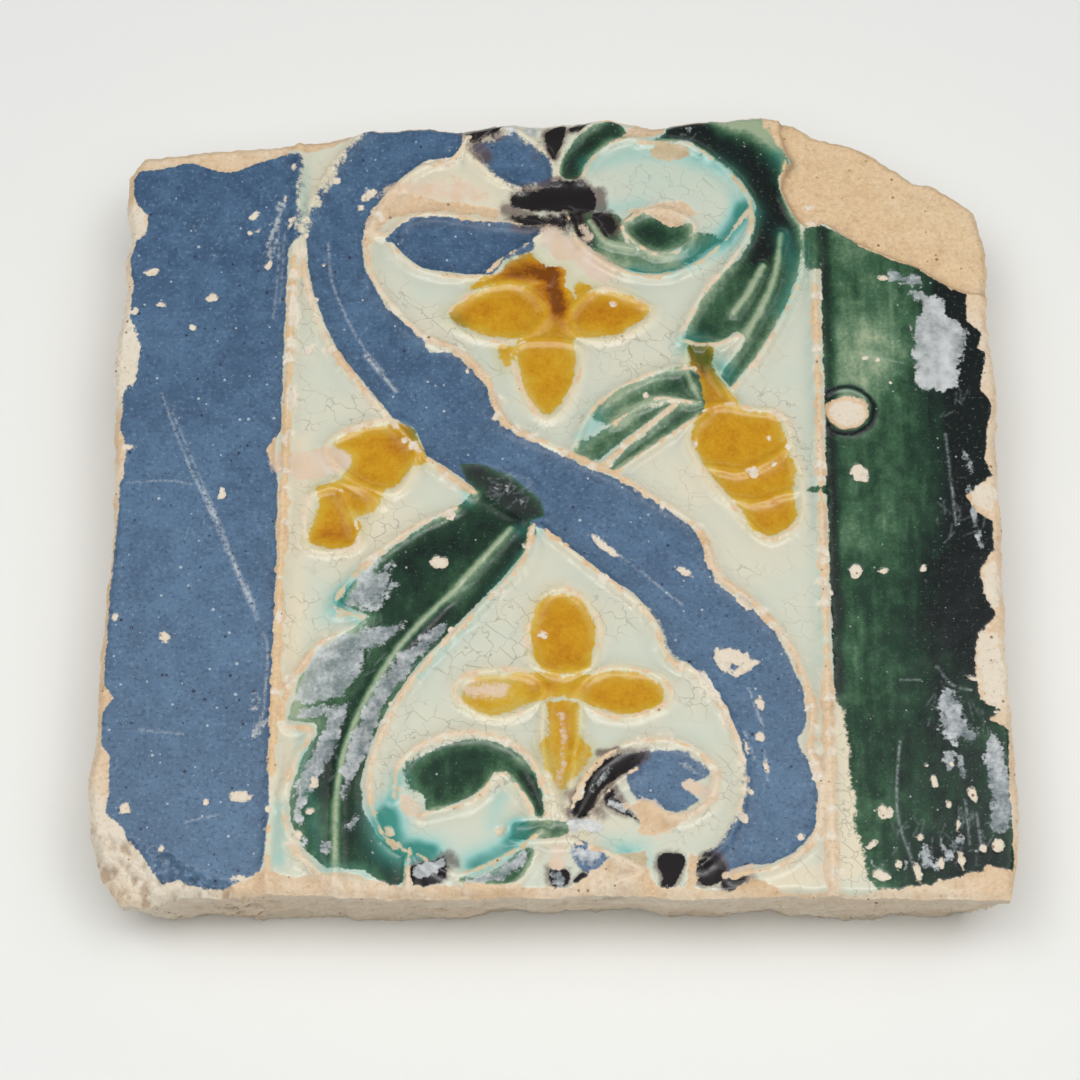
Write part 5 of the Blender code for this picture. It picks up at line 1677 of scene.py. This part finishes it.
class GlazeWiring(Wiring):
    """Wiring with the patterns that all glazes share.

    They are the finest grain, the cells that specks are picked from, and the fine and
    broad clouds that the mesh holds.
    """

    def __init__(self, material: bpy.types.Material) -> None:
        """Lay the shared patterns.

        Args:
            material: the material that the nodes belong to.
        """
        super().__init__(material)
        self.grain = self.noise(1500, 2, 0.75)
        self.cells = self.cell_pattern(760)
        self.fine, self.broad = self.attribute("fine"), self.attribute("broad")

    def specks(self, size: float, channel: int = 0) -> Socket:
        """Pick small round specks, most of them tiny, out of the cells.

        Args:
            size: radius of the largest speck, in cells.
            channel: picks one of three unlike sets.

        Returns:
            1 in a speck and 0 elsewhere.
        """
        own_size = self.fed(self.node("ShaderNodeSeparateColor"), {0: self.cells.outputs["Color"]})
        edge = self.times(self.maths("POWER", own_size.outputs[channel], 4.0), size)
        return self.ease(self.cells.outputs["Distance"], edge, self.times(edge, 0.5))


@dataclass(frozen=True)
class GlazedClay:
    """The one finish of the tile: every glaze and the bare clay, parted by its fields.

    Attributes:
        name: name of the material.
        edge_mm: half of the width over which the edge of a glaze fades.
        ragged_mm: how far the finest grain moves the edge of a glaze.
        gloss: roughness of the green, amber, white and black glazes.
        blue_gloss: roughness of the duller blue glaze.
        glare_and_scuff_gloss: roughness of the painted glare and scuffs.
        clay_roughness: roughness of the bare clay.
        crackle_per_metre: cells of crackle in a metre of the white glaze.
        crackle_sway_m: how far the fine cloud moves the crackle, in metres.
        bump_m: height of the finest grain in metres.
    """

    name: str = "glazed_and_bare_clay"
    edge_mm: float = 0.13
    ragged_mm: float = 0.7
    gloss: float = 0.2
    blue_gloss: float = 0.42
    glare_and_scuff_gloss: float = 0.35
    clay_roughness: float = 0.92
    crackle_per_metre: float = 360
    crackle_sway_m: float = 0.003
    bump_m: float = 0.00022

    def build(self) -> bpy.types.Material:
        """Lay the nodes: each glaze over the white one, and bare clay over all.

        Returns:
            The material.
        """
        material = bpy.data.materials.new(self.name)
        wire = GlazeWiring(material)
        blue = self.mask(wire, "blue")
        bare = wire.maths("MAXIMUM", self.mask(wire, "open_clay"), self.mask(wire, "crest"))
        colour = wire.mix(self.mask(wire, "amber"), self.white(wire), self.amber(wire))
        colour = wire.mix(blue, colour, self.blue(wire))
        colour = wire.mix(self.mask(wire, "green"), colour, self.green(wire))
        colour = wire.mix(self.bled(wire), colour, MANGANESE_HALO)
        colour = wire.mix(self.mask(wire, "black"), colour, MANGANESE)
        # Painted reflection: grey glare, with real scuffs among it, laid over the glazes.
        glare_and_scuff = self.glare_and_scuff(wire)
        colour = wire.mix(glare_and_scuff, colour, self.glare_and_scuff_colour(wire))
        worn = wire.plus(wire.grain, 0.9, wire.plus(wire.fine, 0.6, wire.attribute("worn")))
        skin = wire.mix(wire.fine, SKIN, CLAY_PEACH)
        colour = wire.tint(colour, skin, wire.ease(worn, 1.15, 1.5), 0.9)
        scratch = wire.times(wire.attribute("scratch"), wire.ease(wire.grain, 0.3, 0.6))
        colour = wire.mix(scratch, colour, SCUFF)
        # Painted shade in hollows, which also darkens the glaze where it pools by the raised lines.
        colour = wire.tint(colour, GLAZE_SHADE, wire.attribute("hollow_shade_and_pooling"), 0.3)
        rough = wire.blend(blue, self.gloss, self.blue_gloss)
        rough = wire.blend(glare_and_scuff, rough, self.glare_and_scuff_gloss)
        shader = wire.fed(wire.node("ShaderNodeBsdfPrincipled"), {
            "Base Color": wire.mix(bare, colour, self.clay(wire)),
            "Roughness": wire.blend(bare, rough, self.clay_roughness),
            "Normal": self.bumps(wire),
        })
        wire.fed(wire.node("ShaderNodeOutputMaterial"), {"Surface": shader.outputs["BSDF"]})
        return material

    def mask(self, wire: GlazeWiring, glaze: str) -> Socket:
        """Tell where a glaze lies: its field, moved by the grain and eased over the edge.

        Args:
            wire: the nodes.
            glaze: name of the field.

        Returns:
            1 on the glaze and 0 off it.
        """
        middle = 0.5 * self.ragged_mm
        moved = wire.plus(wire.grain, self.ragged_mm, wire.attribute(glaze))
        return wire.ease(moved, middle - self.edge_mm, middle + self.edge_mm)

    def glare_and_scuff(self, wire: GlazeWiring) -> Socket:
        """Tell how strong the painted glare and the grey scuffs are, with holes and a ragged edge.

        Returns:
            Its share of the colour.
        """
        moved = wire.plus(wire.grain, 1.8, wire.plus(wire.fine, 1.0, wire.attribute("glare_and_scuff")))
        shown = wire.plus(wire.fine, 0.5, 0.52)
        return wire.maths("MULTIPLY", wire.ease(moved, 1.25, 1.8), shown, clamp=True)

    def glare_and_scuff_colour(self, wire: GlazeWiring) -> Socket:
        """Grey of the painted glare and scuffs, paler where the cream field is high.

        Returns:
            Its colour.
        """
        share = wire.plus(wire.attribute("cream"), 0.32, wire.times(wire.fine, 0.5))
        share = wire.plus(wire.grain, 0.7, share)
        return wire.mix(wire.ease(share, 0.4, 1.05), GLARE_AND_SCUFF_DARK, GLARE_AND_SCUFF_PALE)

    def white(self, wire: GlazeWiring) -> Socket:
        """Tin white, cool or creamy, with crackle and copper's halo.

        The crackle is the borders of cells, moved by the fine cloud so that they wander.

        Returns:
            Its colour.
        """
        warmth = wire.plus(wire.maths("SUBTRACT", wire.broad, 0.5), 0.7, wire.attribute("cream"))
        colour = wire.mix(warmth, WHITE_COOL, WHITE_WARM)
        colour = wire.tint(colour, WHITE_GRAIN, wire.ease(wire.grain, 0.62, 0.8), 0.35)
        crackle = wire.cell_pattern(self.crackle_per_metre, "DISTANCE_TO_EDGE")
        fine = wire.node("ShaderNodeAttribute", attribute_name="fine").outputs["Vector"]
        moved = wire.node("ShaderNodeVectorMath", operation="MULTIPLY_ADD")
        sway = (self.crackle_sway_m, -self.crackle_sway_m, 0.0)
        wire.fed(moved, {0: fine, 1: sway, 2: wire.place()})
        wire.fed(crackle, {"Vector": moved.outputs[0]})
        line = wire.ease(crackle.outputs["Distance"], 0.045, 0.0)
        shown = wire.times(line, wire.ease(wire.broad, 0.35, 0.75))
        colour = wire.tint(colour, CRACKLE, shown, 0.55)
        halo = wire.attribute("halo")
        colour = wire.mix(halo, colour, TURQUOISE_PALE)
        colour = wire.tint(colour, TEAL_DEEP, wire.ease(halo, 0.7, 1.5), 0.95)
        return wire.tint(colour, AMBER_FRINGE, wire.attribute("yellow"), 0.35)

    def amber(self, wire: GlazeWiring) -> Socket:
        """Honey amber, darker where it is thick and paler by its edge.

        Returns:
            Its colour.
        """
        depth = wire.ease(wire.attribute("amber"), -0.3, 1.8)
        share = wire.plus(wire.attribute("thick"), 0.55, wire.times(depth, 0.3))
        share = wire.plus(wire.grain, 0.5, wire.plus(wire.fine, 0.3, share))
        colour = wire.steps(wire.maths("SUBTRACT", share, 0.4), AMBER_STEPS)
        return wire.mix(wire.attribute("halo"), colour, OLIVE)

    def blue(self, wire: GlazeWiring) -> Socket:
        """Dull blue, mottled, with a painted sheen that makes it paler to the near side, and with dark and
        pale grains and specks.

        Returns:
            Its colour.
        """
        parts = wire.fed(wire.node("ShaderNodeSeparateXYZ"), {0: wire.place()})
        cloud = wire.plus(wire.fine, 0.5, wire.times(wire.broad, 0.5))
        colour = wire.mix(wire.ease(cloud, 0.25, 0.8), BLUE_DEEP, BLUE_MID)
        # Painted sheen: the blue is made paler towards the near side.
        colour = wire.tint(colour, BLUE_PALE, wire.ease(parts.outputs[1], 0.06, -0.06), 0.22)
        colour = wire.tint(colour, BLUE_DARK, wire.ease(wire.grain, 0.47, 0.3), 0.6)
        colour = wire.tint(colour, BLUE_PALE, wire.ease(wire.grain, 0.55, 0.74), 0.55)
        colour = wire.mix(wire.specks(0.3, 1), colour, BLUE_SPECK)
        return wire.mix(wire.specks(0.26), colour, BLUE_BARE_SPECK)

    def green(self, wire: GlazeWiring) -> Socket:
        """Copper green, near black where it is thick, with teal by its halo.

        Returns:
            Its colour.
        """
        share = wire.plus(wire.grain, 0.42, wire.plus(wire.fine, 0.26, wire.attribute("thick")))
        colour = wire.steps(wire.maths("SUBTRACT", share, 0.34), GREEN_STEPS)
        colour = wire.mix(wire.attribute("halo"), colour, TEAL)
        colour = wire.tint(colour, GREEN_GRAIN, wire.ease(wire.grain, 0.58, 0.74), 0.4)
        return wire.mix(wire.specks(0.2), colour, GREEN_SPECK)

    def bled(self, wire: GlazeWiring) -> Socket:
        """Tell where manganese has bled brown beyond the black."""
        depth = wire.plus(wire.grain, 0.8, wire.plus(wire.fine, 1.2, wire.attribute("bled")))
        return wire.times(wire.ease(depth, 0.1, 1.2), 0.75)

    def clay(self, wire: GlazeWiring) -> Socket:
        """Fired clay, peach to cream, with tan smears, greys on the sides and pores, painted shade in
        hollows and cracks, and a near side painted paler as painted light.

        Returns:
            Its colour.
        """
        chalk_and_front_light = wire.attribute("chalk_and_front_light")
        torn = wire.times(wire.attribute("torn"), wire.ease(wire.fine, 0.3, 0.7))
        colour = wire.mix(wire.ease(wire.broad, 0.3, 0.75), CLAY_PEACH, CLAY_PALE)
        for over, share, strength in (
            (CLAY_CORNER, wire.ease(chalk_and_front_light, 0.0, -0.9), 0.85),
            (CLAY_TAN, wire.ease(wire.fine, 0.5, 0.9), 0.5),
            (CLAY_GRAIN, wire.ease(wire.grain, 0.5, 0.8), 0.45),
            # chalk, and the near side painted paler as painted light
            (CLAY_CHALK_AND_LIGHT, wire.ease(chalk_and_front_light, 0.0, 0.8), 0.8),
            (CLAY_TINGED, wire.ease(wire.attribute("halo"), 0.15, 0.75), 0.45),
            (CLAY_GREY, torn, 0.6),
            (CLAY_SHADE, wire.ease(wire.grain, 0.46, 0.3), 0.4),
            # painted shade in hollows and cracks
            (CLAY_HOLLOW_SHADE, wire.attribute("hollow_shade_and_pooling"), 0.55),
        ):
            colour = wire.tint(colour, over, share, strength)
        return wire.mix(wire.specks(0.28), colour, CLAY_SPECK)

    def bumps(self, wire: GlazeWiring) -> Socket:
        """Add the finest grain, sharp on clay and faint on the glazes.

        Returns:
            The bumped normal.
        """
        grain = wire.noise(2400, 1, 0.6)
        height = wire.times(grain, wire.maths("ADD", wire.attribute("grit"), 0.05))
        values = {"Height": height, "Distance": self.bump_m, "Strength": 0.6}
        return wire.fed(wire.node("ShaderNodeBump"), values).outputs["Normal"]


@dataclass(frozen=True)
class SoftLight:
    """A soft box that faces the tile.

    Attributes:
        name: name of the light.
        azimuth_deg: direction from the tile, 0 away from the camera and 90 to the right.
        elevation_deg: height above the floor as an angle.
        distance: distance from the tile in metres.
        width: size across in metres.
        height: size up in metres.
        power: watts.
    """

    name: str
    azimuth_deg: float
    elevation_deg: float
    distance: float
    width: float
    height: float
    power: float

    def build(self) -> None:
        """Place the light and turn it to the tile."""
        data = bpy.data.lights.new(self.name, "AREA")
        data.shape = "RECTANGLE"
        data.size = self.width
        data.size_y = self.height
        data.energy = self.power
        azimuth, elevation = math.radians(self.azimuth_deg), math.radians(self.elevation_deg)
        place = Vector((
            math.sin(azimuth) * math.cos(elevation),
            math.cos(azimuth) * math.cos(elevation),
            math.sin(elevation),
        )) * self.distance
        lamp = bpy.data.objects.new(self.name, data)
        lamp.location = place
        lamp.rotation_euler = (-place).to_track_quat("-Z", "Y").to_euler()
        bpy.context.scene.collection.objects.link(lamp)


@dataclass(frozen=True)
class Studio:
    """Floor, sky light, soft boxes and the camera.

    Attributes:
        elevation_deg: height of the camera above the tile as an angle.
        distance: distance from the camera to its target in metres.
        lens_mm: focal length on a 36 mm wide sensor.
        yaw_deg: turn of the camera about the upright.
        target_mm: place on the drawing that the camera looks at.
        target_height_mm: height of that place above the floor.
        sky: strength of the light from all around.
    """

    elevation_deg: float = 62.0
    distance: float = 0.59
    lens_mm: float = 129.2
    yaw_deg: float = 0.35
    target_mm: tuple[float, float] = (-2.5, -9.0)
    target_height_mm: float = 18.0
    sky: float = 0.15

    def build(self) -> None:
        """Build all of it."""
        self.camera()
        self.floor()
        self.world()
        for light in (
            SoftLight("front_box", 180, 68, 0.62, 0.7, 0.4, 1.45),
            SoftLight("top_box", 180, 85, 0.76, 0.7, 0.3, 1.8),
            SoftLight("left_box", -80, 62, 1.2, 1.0, 0.8, 2.35),
            SoftLight("right_box", 80, 60, 1.2, 1.0, 0.8, 2.6),
            SoftLight("far_box", 18, 36, 1.4, 0.7, 0.34, 0.6),
        ):
            light.build()
        bpy.context.scene.view_settings.view_transform = "Standard"

    def camera(self) -> None:
        """Set the camera where the photograph's viewpoint was worked out to be."""
        data = bpy.data.cameras.new("camera")
        data.lens = self.lens_mm
        data.sensor_width = 36
        data.clip_start, data.clip_end = 0.01, 20
        cam = bpy.data.objects.new("camera", data)
        target = Vector((
            (self.target_mm[0] + SHIFT_MM[0]) * MM,
            (self.target_mm[1] + SHIFT_MM[1]) * MM,
            self.target_height_mm * MM,
        ))
        yaw, tilt = math.radians(self.yaw_deg), math.radians(self.elevation_deg)
        back = Vector((
            math.sin(yaw) * math.cos(tilt), -math.cos(yaw) * math.cos(tilt), math.sin(tilt)
        ))
        cam.location = target + back * self.distance
        cam.rotation_euler = (-back).to_track_quat("-Z", "Y").to_euler()
        bpy.context.scene.collection.objects.link(cam)
        bpy.context.scene.camera = cam

    def floor(self) -> None:
        """Lay a plain pale floor under the tile."""
        mesh = bpy.data.meshes.new("floor")
        half = 3.0
        mesh.from_pydata(
            [(-half, -half, 0), (half, -half, 0), (half, half, 0), (-half, half, 0)], [],
            [(0, 1, 2, 3)],
        )
        floor = bpy.data.objects.new("floor", mesh)
        bpy.context.scene.collection.objects.link(floor)
        material = bpy.data.materials.new("pale_floor")
        wire = Wiring(material)
        shader = wire.node("ShaderNodeBsdfPrincipled")
        wire.fed(shader, {"Base Color": FLOOR_PALE, "Roughness": 0.9, "Specular IOR Level": 0.1})
        wire.fed(wire.node("ShaderNodeOutputMaterial"), {"Surface": shader.outputs["BSDF"]})
        mesh.materials.append(material)

    def world(self) -> None:
        """Surround the scene with a dim even light."""
        world = bpy.data.worlds.new("studio")
        world.use_nodes = True
        sky = world.node_tree.nodes["Background"]
        sky.inputs["Color"].default_value = (1, 1, 1, 1)
        sky.inputs["Strength"].default_value = self.sky
        bpy.context.scene.world = world


def main() -> None:
    """Build the tile and the studio in order."""
    logging.basicConfig(level=logging.INFO, format="%(message)s")
    material = GlazedClay().build()
    face = Face(Plane())
    LOG.info("fields worked out")
    surface = FaceSurface(face, Rim())
    surface.build(material)
    BrokenSides(surface).build(material)
    Studio().build()


if __name__ == "__main__":
    main()
